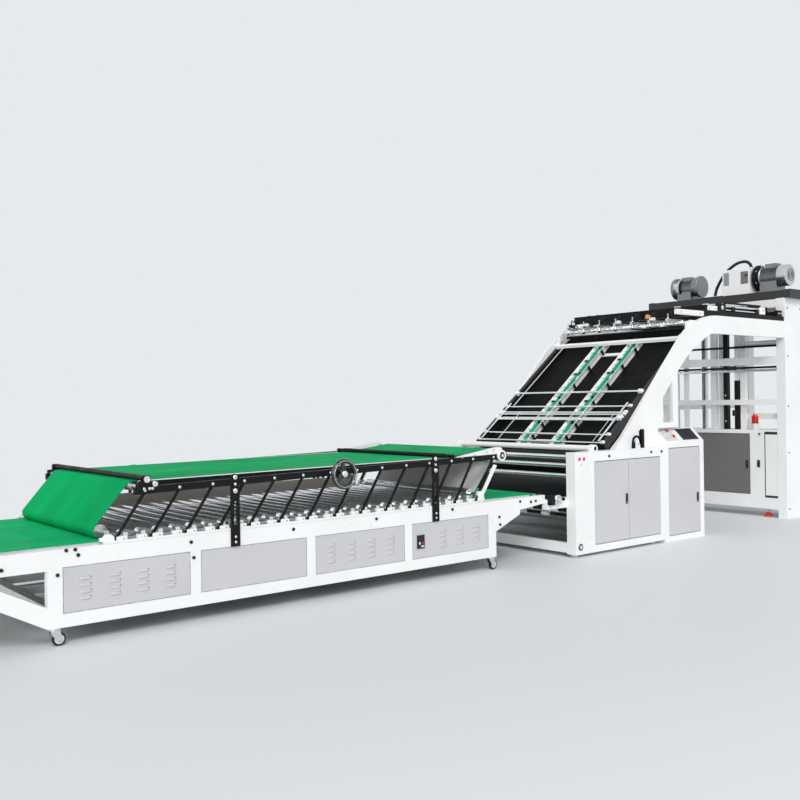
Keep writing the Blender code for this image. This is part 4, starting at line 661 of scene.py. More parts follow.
    def hood(self, x, z, face, width, drop, depth):
        """A pressed louvre that swells out from its top edge and is open underneath."""
        last = HOOD_COLUMNS - 1
        points = []
        for row in range(HOOD_ROWS):
            fall = row / (HOOD_ROWS - 1)
            for column in range(HOOD_COLUMNS):
                across = 2 * column / last - 1
                swell = depth * math.sin(0.5 * math.pi * fall) * (1 - across ** 4)
                points.append((x + 0.5 * across * width, face + swell, z + drop * (0.5 - fall)))
        low = len(points)
        points += [(x + width * (column / last - 0.5), face, z - 0.5 * drop)
                   for column in range(1, last)]
        faces = []
        for row in range(HOOD_ROWS - 1):
            for column in range(last):
                a = row * HOOD_COLUMNS + column
                faces.append((a, a + 1, a + HOOD_COLUMNS + 1, a + HOOD_COLUMNS))
        bottom = list(range(low - HOOD_COLUMNS, low))
        lip = [bottom[0]] + list(range(low, low + last - 1)) + [bottom[-1]]
        faces.append((bottom[0], bottom[1], lip[1]))
        for column in range(1, last - 1):
            faces.append((bottom[column], bottom[column + 1], lip[column + 1], lip[column]))
        faces.append((bottom[-2], bottom[-1], lip[-2]))
        right = [row * HOOD_COLUMNS + last for row in range(1, HOOD_ROWS - 1)]
        left = [row * HOOD_COLUMNS for row in range(HOOD_ROWS - 2, 0, -1)]
        faces.append(tuple(list(range(HOOD_COLUMNS)) + right + list(reversed(lip)) + left))
        self.add(points, faces)

    def finish(self, name, slot, body):
        bmesh.ops.recalc_face_normals(self.mesh, faces=self.mesh.faces)
        data = bpy.data.meshes.new(name)
        self.mesh.to_mesh(data)
        self.mesh.free()
        for material in self.materials:
            data.materials.append(material)
        data.set_sharp_from_angle(angle=SHARP_ANGLE)
        piece = bpy.data.objects.new(name, data)
        bpy.context.scene.collection.objects.link(piece)
        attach(piece, body)
        return piece


def make(name, slot, rows, body="root", frame=PLAIN):
    """A piece from rows of (material, form, what that form asks for)."""
    piece = Piece(frame)
    for material, form, *details in rows:
        if material:
            piece.paint(material)
        getattr(piece, form)(*details)
    return piece.finish(name, slot, body)


def mirrored(name, slot, rows):
    """A near and a far piece from the same rows, which are written for the far side."""
    for label, frame in SIDES:
        make(f"{name}_{label}", slot, rows, frame=frame)


def on_both(rows, frame=PLAIN):
    """Rows for the far side, drawn on both sides of one piece."""
    return [(None, "put", frame @ MIRROR), *rows, (None, "put", frame), *rows]


def smooth(points, steps):
    """A finer line through the same points."""
    line = [Vector(point) for point in points]
    ends = [2 * line[0] - line[1]] + line + [2 * line[-1] - line[-2]]
    made = []
    for k in range(1, len(ends) - 2):
        a, b, c, d = ends[k - 1:k + 3]
        for step in range(steps):
            t = step / steps
            made.append(0.5 * (2 * b + (c - a) * t + (2 * a - 5 * b + 4 * c - d) * t ** 2
                               + (3 * b - a - 3 * c + d) * t ** 3))
    made.append(line[-1])
    return [tuple(point) for point in made]


# The delivery press

PRESS_LEFT = -5.585
PRESS_RIGHT = -1.441
PANEL_FACE = 0.936
PANEL_PITCH = 1.00675
PANEL_W = 0.92375
PANEL_LOW, PANEL_HIGH = 0.21, 0.52
TRIM_W = 0.005
STRUT_FEET = [PRESS_LEFT + 0.462 + 0.264615 * index for index in range(14)]
STRUT_LEAN = 0.221
FRAME_SCREWS = ((-5.875, 0.549), (-5.52, 0.473), (-5.461, 0.631), (-5.401, 0.630),
                (-5.381, 0.591), (-4.556, 0.589), (-4.537, 0.474), (-3.68, 0.596),
                (-2.857, 0.602), (-1.993, 0.608), (-1.399, 0.486), (-1.39, 0.414),
                (-1.116, 0.610), (-0.965, 0.594), (-0.897, 0.598))
LOUVRE_COLUMNS = {0: (-1.5, -0.5, 0.5, 1.5), 2: (-1.5, -0.5, 0.5, 1.5), 3: (-0.5, 0.5, 1.5)}
LOUVRE_PITCH_X = 0.205
LOUVRE_PITCH_Z = 0.044
LOUVRE_SIZE = (0.083, 0.020, 0.007)
ARM_X = (PRESS_LEFT + 1.39, PRESS_LEFT + 3.39)
ARM_TOPS = {"near": (1.064, 1.10), "far": (1.036, 1.064)}
ARM_HALF = 0.0375
ARM_SLOT = 0.012
ARM_FACES = (0.9395, 0.952)
RAIL_FACES = (0.905, 0.94)
RAIL_LEFT, RAIL_RIGHT = PRESS_LEFT + 0.61, PRESS_LEFT + 4.30
RAIL_HALF = 0.026
RAIL_LOW, RAIL_HIGH = 0.962, 1.03
STRIP_LEFT, STRIP_RIGHT = PRESS_LEFT + 0.70, PRESS_LEFT + 3.56
STRIP_FACES = (0.777, 0.784)
WHEEL_X, WHEEL_Z = PRESS_LEFT + 2.347, 1.008
NOSE_X = PRESS_LEFT + 0.695
BELT_LEFT, BELT_LENGTH = PRESS_LEFT + 0.635, 3.015
BELT_LOW, BELT_RISE = 1.05, 0.02
END_AXLE = (-1.365, 0.932, 1.063)
CASTER_Y = 0.91
CASTER_AXLE_Z = 0.045


def rail_middle(x):
    """The height of the middle of the upper frame's top rail."""
    rise = (RAIL_HIGH - RAIL_LOW) / (RAIL_RIGHT - RAIL_LEFT)
    return RAIL_LOW + rise * (x - RAIL_LEFT) + RAIL_HALF


def belt_top(x):
    """The height of the upper belt's top run."""
    return BELT_LOW + BELT_RISE * (x - BELT_LEFT) / BELT_LENGTH


def press_side():
    """Screws, louvres and seals of the side frames, and the box of the main switch."""
    mirrored("frame_screws", "black_paint",
             [(SCREW_BLACK, "socket_screw", (x, 0.938, z), OUT, 0.0125, 0.011)
              for x, z in FRAME_SCREWS])
    middle = [PRESS_LEFT + 0.10 + panel * PANEL_PITCH + PANEL_W / 2 for panel in range(4)]
    mirrored("panel_louvres", "grey_sheet",
             [(GREY_SHEET, "hood", middle[panel] + column * LOUVRE_PITCH_X,
               0.365 + row * LOUVRE_PITCH_Z, PANEL_FACE, *LOUVRE_SIZE)
              for panel, columns in LOUVRE_COLUMNS.items() for column in columns
              for row in (-1.5, -0.5, 0.5, 1.5)])
    trims = []
    for left in [x - PANEL_W / 2 for x in middle]:
        right = left + PANEL_W
        for x, z, far_x, far_z in ((left, PANEL_LOW, right, PANEL_LOW + TRIM_W),
                                   (left, PANEL_HIGH - TRIM_W, right, PANEL_HIGH),
                                   (left, PANEL_LOW, left + TRIM_W, PANEL_HIGH),
                                   (right - TRIM_W, PANEL_LOW, right, PANEL_HIGH)):
            trims.append((SEAL_GREY, "box", (x, 0.934, z), (far_x, 0.9375, far_z), 0.0006))
    mirrored("panel_trims", "grey_sheet", trims)
    make("press_switch", "black_paint", (
        (DARK_PLASTIC, "box", (-2.412, -0.948, 0.298), (-2.328, -0.935, 0.416), 0.003),
        (DARK_PLASTIC, "box", (-2.40, -0.954, 0.371), (-2.34, -0.946, 0.404), 0.002),
        (WHITE_PLASTIC, "box", (-2.396, -0.9515, 0.334), (-2.378, -0.947, 0.356), 0.001),
        (WHITE_PLASTIC, "box", (-2.372, -0.9515, 0.310), (-2.34, -0.947, 0.326), 0.001),
        (RED_BUTTON, "lathe", (-2.352, -0.947, 0.346), NEAR,
         ((0, 0.008), (0.004, 0.008), (0.006, 0.006)), 18)))


def strut_bearings():
    """White bearing blocks with bolts on either side of each strut's foot."""
    left, right = PRESS_LEFT + 0.46, PRESS_RIGHT - 0.28
    rows = [(TRAY_STEEL, "box", (left, 0.79, 0.6605), (right, 0.906, 0.667), 0.001),
            (TRAY_STEEL, "box", (left, 0.884, 0.664), (right, 0.906, 0.676), 0.002)]
    for foot in STRUT_FEET:
        for x, half in ((foot - 0.062, 0.036), (foot + 0.052, 0.040)):
            rows += [(WHITE, "box", (x - half, 0.889, 0.656), (x + half, 0.938, 0.684), 0.006),
                     (ZINC, "hex_bolt", (x, 0.915, 0.681), UP, 0.008, 0.012),
                     (SCREW_BLACK, "socket_screw", (x + 0.012, 0.9355, 0.669), OUT, 0.005, 0.004)]
    mirrored("strut_bearings", "white_paint", rows)


def rail_bolts():
    """Button heads on the top rail and bolts on the slotted arms."""
    heads = [foot + STRUT_LEAN for foot in STRUT_FEET]
    face = ARM_FACES[1]
    for label, frame in SIDES:
        rows = [(ZINC, "dome", (x, 0.939, rail_middle(x)), OUT, 0.0125, 0.009) for x in heads]
        for x, top in zip(ARM_X, ARM_TOPS[label]):
            rows += [(CHROME, "dome", (x, face, top - 0.026), OUT, 0.019, 0.012),
                     (ZINC, "dome", (x, face, top - 0.078), OUT, 0.013, 0.010),
                     (ZINC, "hex_bolt", (x, face, top - 0.128), OUT, 0.013, 0.015),
                     (ZINC, "dome", (x, face, 0.552), OUT, 0.011, 0.009),
                     (ZINC, "dome", (x, face, 0.592), OUT, 0.011, 0.009)]
        make("rail_bolts_" + label, "roller_steel", rows, frame=frame)


def slotted_arm(x, top):
    """A flat arm with a rounded head and a long slot."""
    head = [(x + ARM_HALF * math.cos(math.radians(turn)),
             top - ARM_HALF + ARM_HALF * math.sin(math.radians(turn)))
            for turn in range(0, 181, 15)]
    outlines = [[(x + ARM_HALF, 0.86)] + head + [(x - ARM_HALF, 0.86)]]
    for left, right, low, high in ((-ARM_HALF, ARM_HALF, 0.52, 0.68),
                                   (-ARM_HALF, -ARM_SLOT, 0.68, 0.86),
                                   (ARM_SLOT, ARM_HALF, 0.68, 0.86)):
        outlines.append([(x + left, low), (x + right, low), (x + right, high), (x + left, high)])
    return [(BLACK, "slab", outline, *ARM_FACES) for outline in outlines]


def leaning(left, right, height, low, high):
    """The outline of a strip that follows a height along x."""
    return [(left, height(left) + low), (right, height(right) + low),
            (right, height(right) + high), (left, height(left) + high)]


def upper_frames():
    """The black upper frames: slender leaning struts, top rail, slotted arms, white strip.

    A black strip with a thin white top runs on brackets along the upper belt's edge.
    """
    rows = [(BLACK, "slab", leaning(RAIL_LEFT, RAIL_RIGHT, rail_middle, -RAIL_HALF, RAIL_HALF),
             *RAIL_FACES)]
    for foot in STRUT_FEET:
        head = foot + STRUT_LEAN
        top = rail_middle(head) - 0.02
        rows.append((BLACK, "slab", ((foot - 0.010, 0.656), (foot + 0.010, 0.656),
                                     (head + 0.010, top), (head - 0.010, top)), 0.913, 0.931))
    rows += [
        (BLACK, "lathe", (WHEEL_X, 0.905, WHEEL_Z), OUT,
         ((0, 0.034), (0.045, 0.034), (0.049, 0.030), (0.066, 0.024)), 28),
        (BLACK, "lathe", (END_AXLE[0], 0.905, END_AXLE[2]), OUT,
         ((0, 0.053), (0.03, 0.053)), 32),
        (WHITE, "box", (-5.20, 0.905, 0.6405), (-1.60, 0.94, 0.6583), 0.002),
        (WHITE, "slab", ((-5.201, 0.657), (-5.125, 0.657), (-5.13, 0.685), (-5.15, 0.706),
                         (-5.182, 0.706), (-5.198, 0.69)), *RAIL_FACES),
        (WHITE, "slab", ((-1.672, 0.657), (-1.585, 0.657), (-1.60, 0.745), (-1.655, 0.745)),
         *RAIL_FACES),
        (BLACK, "slab", leaning(STRIP_LEFT, STRIP_RIGHT, belt_top, -0.075, -0.009),
         *STRIP_FACES),
        (WHITE, "slab", leaning(STRIP_LEFT, STRIP_RIGHT, belt_top, -0.010, -0.002),
         *STRIP_FACES)]
    for foot in STRUT_FEET[1:-1:3]:
        x = foot + STRUT_LEAN
        rows.append((BLACK, "box", (x - 0.012, 0.783, rail_middle(x) - 0.015),
                     (x + 0.012, 0.906, rail_middle(x) - 0.003), 0.002))
    for label, frame in SIDES:
        arms = []
        for x, top in zip(ARM_X, ARM_TOPS[label]):
            arms += slotted_arm(x, top)
        piece = make("upper_frame_detail_" + label, "black_paint", rows + arms, frame=frame)
        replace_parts(piece, "upper_frame_" + label)


def roller_ends():
    """The bearing blocks at the rail's left end, and the round housings at its right end."""
    rows = [
        (BLACK, "box", (NOSE_X - 0.07, 0.905, 0.988), (NOSE_X + 0.05, 0.948, 1.045), 0.006),
        (BLACK, "box", (NOSE_X - 0.03, 0.905, 1.04), (NOSE_X + 0.035, 0.948, 1.092), 0.010),
        (CHROME, "lathe", (NOSE_X, 0.946, 1.066), OUT,
         ((0, 0.024), (0.008, 0.024), (0.010, 0.020), (0.010, 0.012), (0.006, 0.011))),
        (CHROME, "lathe", (NOSE_X + 0.062, 0.935, 1.03), OUT,
         ((0, 0.02), (0.014, 0.02), (0.018, 0.014)))]
    rows += [(ZINC, "hex_bolt", (NOSE_X + dx, 0.947, 1.0), OUT, 0.007, 0.008)
             for dx in (-0.02, 0.02, 0.042)]
    mirrored("nose_bearings", "black_paint", rows)
    rows = [
        (WHITE, "slab", ((-1.915, 1.055), (-1.915, 1.075), (-1.43, 1.142), (-1.36, 1.142),
                         (-1.33, 1.11), (-1.37, 1.04)), 0.907, 0.934),
        (WHITE, "slab", ((-1.682, 0.66), (-1.642, 0.66), (-1.43, 0.975), (-1.468, 0.985)),
         0.94, 0.952),
        (WHITE, "lathe", END_AXLE, OUT,
         ((0, 0.052), (0.026, 0.052), (0.03, 0.048), (0.03, 0.036), (0.022, 0.034)), 32),
        (DARK_PLASTIC, "lathe", END_AXLE, OUT, ((0.0, 0.035), (0.024, 0.035), (0.024, 0.016)), 32),
        (CHROME, "lathe", END_AXLE, OUT, ((0.0, 0.015), (0.034, 0.015), (0.037, 0.011)))]
    rows += [(ZINC, "hex_bolt", (x, 0.933, z), OUT, 0.008, 0.009)
             for x, z in ((-1.86, 1.066), (-1.70, 1.086), (-1.55, 1.107), (-1.45, 1.118))]
    mirrored("end_bearings", "white_paint", rows)


def press_fittings():
    """The stop on the far rail and the screws that tighten the lower belt."""
    make("far_rail_stop", "black_paint", (
        (BLACK, "box", (-4.215, 0.91, 0.998), (-4.165, 0.945, 1.046), 0.003),
        (ZINC, "dome", (-4.19, 0.944, 1.022), OUT, 0.01, 0.007)))
    mirrored("belt_tensioner", "black_paint", (
        (BLACK, "box", (-6.10, 0.939, 0.585), (-6.00, 0.954, 0.622), 0.002),
        (ZINC, "rod", (-6.00, 0.947, 0.603), (-5.94, 0.947, 0.603), 0.005, 12),
        (ZINC, "hex_bolt", (-6.05, 0.953, 0.603), OUT, 0.008, 0.008)))


def handwheel():
    """The wheel that sets the frame's height: thick glossy rim, three flat spokes, a hub."""
    rows = [(HANDWHEEL_BLACK, "ring", (WHEEL_X, -1.02, WHEEL_Z), OUT, 0.107, 0.0185)]
    for index in range(3):
        turn = Matrix.Rotation(-math.radians(100 + 120 * index), 4, "Y")
        rows += [(None, "put", Matrix.Translation((WHEEL_X, 0, WHEEL_Z)) @ turn),
                 (HANDWHEEL_BLACK, "slab",
                  ((0.02, -0.022), (0.102, -0.013), (0.102, 0.013), (0.02, 0.022)),
                  -1.026, -1.010)]
    rows += [
        (None, "put", PLAIN),
        (HANDWHEEL_BLACK, "lathe", (WHEEL_X, -0.9445, WHEEL_Z), NEAR,
         ((0, 0.0135), (0.05, 0.0135), (0.05, 0.027), (0.056, 0.031), (0.084, 0.031),
          (0.088, 0.027)), 32),
        (CHROME, "lathe", (WHEEL_X, -1.031, WHEEL_Z), NEAR,
         ((0, 0.026), (0.005, 0.026), (0.009, 0.021), (0.009, 0.013), (0.0095, 0.0125)), 28),
        (CHROME, "ring", (WHEEL_X, -1.0385, WHEEL_Z), OUT, 0.107, 0.0022, 64, 8)]
    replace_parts(make("handwheel_detail", "black_paint", rows, "handwheel"), "handwheel")


def caster_trims():
    """Pale hubs on the wheels, and the heads of the axle bolts on the forks."""
    for label, side in (("near", -1), ("far", 1)):
        for end, x in (("left", PRESS_LEFT + 0.078), ("right", PRESS_RIGHT - 0.022)):
            name = f"{label}_{end}"
            y = side * CASTER_Y
            make("caster_hub_" + name, "roller_steel",
                 [(WHITE_PLASTIC, "lathe", (x, y + turn * 0.0145, CASTER_AXLE_Z), (0, turn, 0),
                   ((0, 0.032), (0.0015, 0.032), (0.0022, 0.030), (0.0022, 0.014),
                    (0.001, 0.012)), 28) for turn in (-1, 1)], "wheel_" + name)
            make("caster_bolts_" + name, "roller_steel",
                 [(ZINC, "hex_bolt", (x, y + turn * 0.0238, CASTER_AXLE_Z), (0, turn, 0),
                   0.006, 0.005) for turn in (-1, 1)], "caster_" + name)


# The gluing unit, its control desk and the sloping table

COVER_FACE = -1.076
UNIT_TOP = 1.048
DESK_LOW = Vector((0.0, -1.076, 1.093))
DESK_HIGH = Vector((0.0, -0.93, 1.24))
TUBE_X, TUBE_Z = -0.085, 1.075
LINK_Y, LINK_Z = 0.99, 0.595
SLOPE = math.radians(38.3)
SLOPE_FRAME = (Matrix.Translation((0.135, 0.0, 1.10)) @ Matrix.Rotation(-SLOPE, 4, "Y"))
ROD_PLACES = (0.03, 0.16, 0.42, 0.50, 0.535, 0.64, 1.84)
CHANNELS = (("near", -0.25), ("far", 0.25))
CUP_X = 1.595
TOP_X, TOP_Z = 1.865, 2.515


def push_button(place, direction, material, radius, rim, cap):
    """A button in a chromed rim. The cap is a profile that starts above the rim's foot."""
    above = Vector(place) + Vector(direction) * rim
    return [(CHROME, "lathe", place, direction,
             ((0, radius + 0.004), (0.003, radius + 0.004), (0.004, radius + 0.002))),
            (material, "lathe", above, direction, cap)]


def cover_fittings():
    """Buttons and screws on the near cover, screw ends low on the covers, and door pulls."""
    rows = []
    for x, z, material, radius in ((-0.402, 0.986, RED_BUTTON, 0.017),
                                   (-0.335, 0.984, RED_BUTTON, 0.017),
                                   (-0.373, 0.936, WHITE_PLASTIC, 0.012)):
        rows += push_button((x, COVER_FACE, z), NEAR, material, radius, 0.003,
                            ((0, radius), (0.005, radius), (0.007, radius - 0.002)))
    rows += [(SCREW_BLACK, "socket_screw", (x, COVER_FACE + 0.001, z), NEAR, 0.014, 0.008)
             for x, z in ((0.069, 0.994), (0.783, 1.002), (0.97, 1.00))]
    make("cover_controls", "white_paint", rows)
    for (label, frame), places in zip(SIDES, ((-0.395,), (-0.395, 0.985))):
        rows = []
        for x in places:
            rows += [(DARK_PLASTIC, "lathe", (x, 1.075, 0.105), OUT,
                      ((0, 0.034), (0.005, 0.034), (0.006, 0.031), (0.006, 0.019)), 30),
                     (CHROME, "lathe", (x, 1.075, 0.105), OUT,
                      ((0, 0.02), (0.009, 0.02), (0.012, 0.014)), 24)]
        make("levelling_knobs_" + label, "black_paint", rows, frame=frame)
    for name, body, x, z in (("left_door_pull", "unit_door_left", 0.3515, 0.535),
                             ("control_door_pull", "control_door", 1.645, 0.455)):
        make(name, "black_paint", (
            (DARK_PLASTIC, "box", (x - 0.016, COVER_FACE - 0.0092, z - 0.054),
             (x + 0.016, COVER_FACE + 0.001, z + 0.054), 0.0025),
            (DARK_PLASTIC, "box", (x - 0.009, COVER_FACE - 0.0135, z - 0.0324),
             (x + 0.006, COVER_FACE - 0.008, z + 0.027), 0.0025),
            (CHROME, "lathe", (x, COVER_FACE - 0.009, z - 0.04212), NEAR,
             ((0, 0.006), (0.002, 0.006), (0.003, 0.004)), 18)), body)


def desk():
    """The sloping desk: a dark touch panel, two red buttons, a grey one and a pale plate."""
    slope = (DESK_HIGH - DESK_LOW).normalized()
    length = (DESK_HIGH - DESK_LOW).length
    frame = Matrix(((1, 0, 0, 0), (0, slope.y, -slope.z, DESK_LOW.y),
                    (0, slope.z, slope.y, DESK_LOW.z), (0, 0, 0, 1)))
    rows = [(PANEL_PLATE, "box", (1.085, 0.018, -0.001), (1.315, length - 0.02, 0.002), 0.0006),
            (DARK_PLASTIC, "box", (1.405, 0.020, -0.001), (1.705, length - 0.018, 0.006), 0.002),
            (SCREEN, "box", (1.425, 0.036, 0.004), (1.685, length - 0.032, 0.0068), 0.0006)]
    for x, up, material, radius, top in ((1.225, 0.160, RED_BUTTON, 0.02, 0.016),
                                         (1.268, 0.075, RED_BUTTON, 0.02, 0.016),
                                         (1.150, 0.060, WHITE_PLASTIC, 0.014, 0.009),
                                         (1.150, 0.155, WHITE_PLASTIC, 0.014, 0.009)):
        narrow = 0.85 * radius
        rows += push_button((x, up, 0.0015), UP, material, radius, 0.0025,
                            ((0, narrow), (0.5 * top, narrow), (0.6 * top, radius),
                             (0.9 * top, radius), (top, narrow)))
    make("desk_controls", "black_paint", rows, frame=frame)


def unit_top():
    """The tube at the table's foot with its blocks, and the nip lever on the near side."""
    x = TUBE_X
    rows = on_both([
        (WHITE, "box", (x - 0.05, 0.958, UNIT_TOP), (x + 0.05, 1.02, 1.085), 0.006),
        (WHITE, "lathe", (x, 0.957, TUBE_Z), OUT,
         ((0, 0.040), (0.066, 0.040), (0.070, 0.036), (0.070, 0.024), (0.064, 0.022)), 28),
        (BLACK, "lathe", (x, 1.018, TUBE_Z), OUT, ((0, 0.020), (0.006, 0.020), (0.006, 0.01))),
        (ZINC, "hex_bolt", (x - 0.038, 1.005, 1.0845), UP, 0.007, 0.008),
        (ZINC, "hex_bolt", (x + 0.038, 1.005, 1.0845), UP, 0.007, 0.008)])
    make("foot_tube", "white_paint",
         [(WHITE, "rod", (x, -0.955, TUBE_Z), (x, 0.955, TUBE_Z), 0.03, 32)] + rows)
    turns = [math.radians(200 - 15 * step) for step in range(13)]
    hook = [(0.615 + 0.06 * math.cos(turn), -1.015, 1.125 + 0.05 * math.sin(turn))
            for turn in turns]
    make("nip_lever", "black_paint", (
        (BLACK, "box", (0.70, -1.03, UNIT_TOP), (0.735, -0.985, 1.25), 0.004),
        (BLACK, "sweep", hook, 0.013),
        (BLACK, "box", (0.545, -1.03, UNIT_TOP), (0.575, -1.0, 1.115), 0.003),
        (WHITE, "slab", ((0.575, 1.048), (0.645, 1.048), (0.645, 1.075), (0.62, 1.13),
                         (0.575, 1.145)), -1.04, -1.02),
        (CHROME, "hex_bolt", (0.61, -1.039, 1.09), NEAR, 0.010, 0.01)))


def entry_details():
    """A black sheet behind the entry rods, which is painted shade inside the unit, and the shafts
    under the lower belt's end.
    """
    # A black sheet where the unit's inside lies in shade: painted shade.
    make("entry_painted_shade", "black_paint", (
        (BLACK, "box", (0.26, -0.959, 0.40), (0.272, 0.959, 1.03), 0.001),
        (BLACK, "box", (0.10, -0.959, 0.385), (0.272, 0.959, 0.40), 0.001)))
    rows = []
    for x, z, radius, shift in ((-0.40, 0.462, 0.018, 0.0), (-0.36, 0.405, 0.016, 0.12)):
        rows.append((BLACK, "rod", (x, -0.962, z), (x, 0.962, z), radius))
        rows += [(WHITE, "rod", (x, low + shift, z), (x, high + shift, z), radius + 0.009)
                 for low, high in ((-0.80, -0.66), (-0.45, 0.0), (0.25, 0.40))]
    rows += [(CHROME, "rod", (-0.385, y, 0.43), (-0.385, y + 0.02, 0.43), 0.05, 28)
             for y in (-0.70, 0.10, 0.75)]
    make("entry_shafts", "black_paint", rows)
    mirrored("link_bearing", "black_paint", (
        (BLACK, "box", (-0.752, 0.935, 0.545), (-0.70, 1.02, 0.64), 0.003),
        (ZINC, "lathe", (-0.64, LINK_Y, LINK_Z), OUT,
         ((0, 0.046), (0.022, 0.046), (0.026, 0.042), (0.026, 0.030), (0.018, 0.028)), 30),
        (CHROME, "lathe", (-0.64, LINK_Y, LINK_Z), OUT,
         ((0, 0.022), (0.034, 0.022), (0.037, 0.018)), 24),
        (BLACK, "lathe", (-0.565, LINK_Y, LINK_Z), OUT,
         ((0, 0.016), (0.028, 0.016), (0.030, 0.012)), 20)))


def table_rods():
    """Rods along and across the table with their clamps, and the sheet over its top end."""
    rows = [(CHROME, "rod", (low, y, lift), (high, y, lift), radius, 16)
            for y, low, high, radius, lift in (
                (-0.365, 0.02, 1.82, 0.008, 0.016), (0.132, 0.02, 1.82, 0.008, 0.016),
                (-0.875, 0.03, 0.68, 0.012, 0.018), (0.875, 0.03, 0.68, 0.012, 0.018),
                (0.60, 0.03, 0.52, 0.006, 0.016), (0.80, 0.64, 1.82, 0.008, 0.016),
                (-0.80, 0.03, 0.50, 0.005, 0.016))]
    rows += [(CHROME, "rod", (0.885, -0.925, 0.014), (0.885, 0.925, 0.014), 0.014, 24),
             (CHROME, "box", (0.395, -0.912, -0.006), (0.445, 0.912, 0.006), 0.002),
             (WHITE, "rod", (1.865, -0.915, 0.014), (1.865, 0.915, 0.014), 0.024, 32)]
    ends = [(WHITE, "box", (along - 0.016, 0.905, -0.012), (along + 0.016, 0.953, 0.024), 0.003)
            for along in ROD_PLACES]
    ends += [(WHITE, "box", (1.83, 0.895, -0.02), (1.90, 0.953, 0.045), 0.006),
             (WHITE, "box", (0.862, 0.895, -0.016), (0.908, 0.953, 0.034), 0.004),
             (WHITE, "box", (0.40, 0.895, -0.016), (0.455, 0.953, 0.034), 0.004)]
    ends += [(ZINC, "hex_bolt", (along, 0.93, 0.0235), UP, 0.006, 0.007) for along in ROD_PLACES]
    posts = [(BLACK, "box", (along - 0.012, y - 0.012, -0.072),
              (along + 0.012, y + 0.012, 0.02), 0.002)
             for y in (-0.365, 0.132) for along in (0.12, 0.33, 0.72, 1.05, 1.40, 1.72)]
    make("table_rods", "roller_steel", rows + on_both(ends, SLOPE_FRAME) + posts,
         frame=SLOPE_FRAME)
    rows = [(BOARD, "box", (1.90, -0.956, -0.082), (2.17, 0.956, -0.070), 0.001)]
    rows += [(SCREW_BLACK, "socket_screw", (2.12, y, -0.071), UP, 0.008, 0.006)
             for y in (-0.85, -0.5, 0.0, 0.5, 0.85)]
    make("table_top_sheet", "board_black", rows, frame=SLOPE_FRAME)


def channel_clips():
    """White and black holders that lap over the straps from both walls of each channel."""
    for label, y in CHANNELS:
        rows = []

        def clip(material, first, last, start, end, low, high, chamfer):
            """A block that reaches from one place to another across the channel."""
            rows.append((material, "box", (first, y + min(start, end), low),
                         (last, y + max(start, end), high), chamfer))

        for index in range(13):
            along = 0.14 + 0.132 * index
            side = 1 if index % 2 else -1
            wall = side * 0.082
            lap = wall - side * (0.046, 0.040, 0.052)[index % 3]
            clip(WHITE, along, along + 0.06, wall, lap, -0.052, -0.024, 0.004)
            clip(WHITE, along + 0.055, along + 0.115, wall, side * 0.054, -0.050, -0.028, 0.004)
            clip(WHITE, along + 0.02, along + 0.07, -wall, -side * 0.056, -0.050, -0.027, 0.004)
            rows.append((ZINC, "hex_bolt", (along + 0.03, y + side * 0.058, -0.0245), UP,
                         0.006, 0.006))
            if index % 3 != 1:
                clip(BLACK, along - 0.022, along - 0.004, side * 0.070, lap - side * 0.010,
                     -0.046, -0.030, 0.003)
        rows += [(BLACK, "lathe", (along, y, -0.045), UP,
                  ((0, 0.016), (0.012, 0.016), (0.014, 0.012)), 20)
                 for along in (0.40, 0.86, 1.33)]
        make("channel_clips_" + label, "white_paint", rows, frame=SLOPE_FRAME)


def sucker(y, valve):
    """A suction cup on its spring rod, its valve, its clamp on the bar, and its hose."""
    x = CUP_X
    hose = [(x + 0.056, y, 2.54), (x + 0.06, y, 2.575), (x + 0.09, y + 0.01, 2.592),
            (x + 0.14, y + 0.02, 2.585), (x + 0.19, y + 0.03, 2.545),
            (x + 0.235, y + 0.035, 2.495), (x + 0.262, y + 0.035, 2.472)]
    coil = ((0, 0.009), (0.0015, 0.0105), (0.003, 0.009))
    return [
        (RUBBER, "lathe", (x, y, 2.395), UP,
         ((0.006, 0.021), (0.010, 0.020), (0.016, 0.012), (0.022, 0.016), (0.028, 0.011),
          (0.036, 0.010)), 20),
        (ZINC, "rod", (x, y, 2.43), (x, y, 2.555), 0.006, 12),
        *[(ZINC, "lathe", (x, y, 2.512 + 0.006 * turn), UP, coil, 14) for turn in range(6)],
        (ZINC, "lathe", (x, y, 2.548), UP, ((0, 0.010), (0.008, 0.010), (0.010, 0.007)), 6),
        (valve, "box", (x + 0.03, y - 0.02, 2.498), (x + 0.085, y + 0.02, 2.535), 0.003),
        (BLACK, "lathe", (x + 0.056, y, 2.534), UP,
         ((0, 0.007), (0.018, 0.007), (0.020, 0.005)), 14),
        (ZINC, "box", (1.845, y - 0.024, 2.435), (1.90, y + 0.024, 2.492), 0.004),
        (ZINC, "hex_bolt", (1.872, y, 2.4915), UP, 0.008, 0.010),
        (RUBBER, "sweep", smooth(hose, 3), 0.006, 10)]


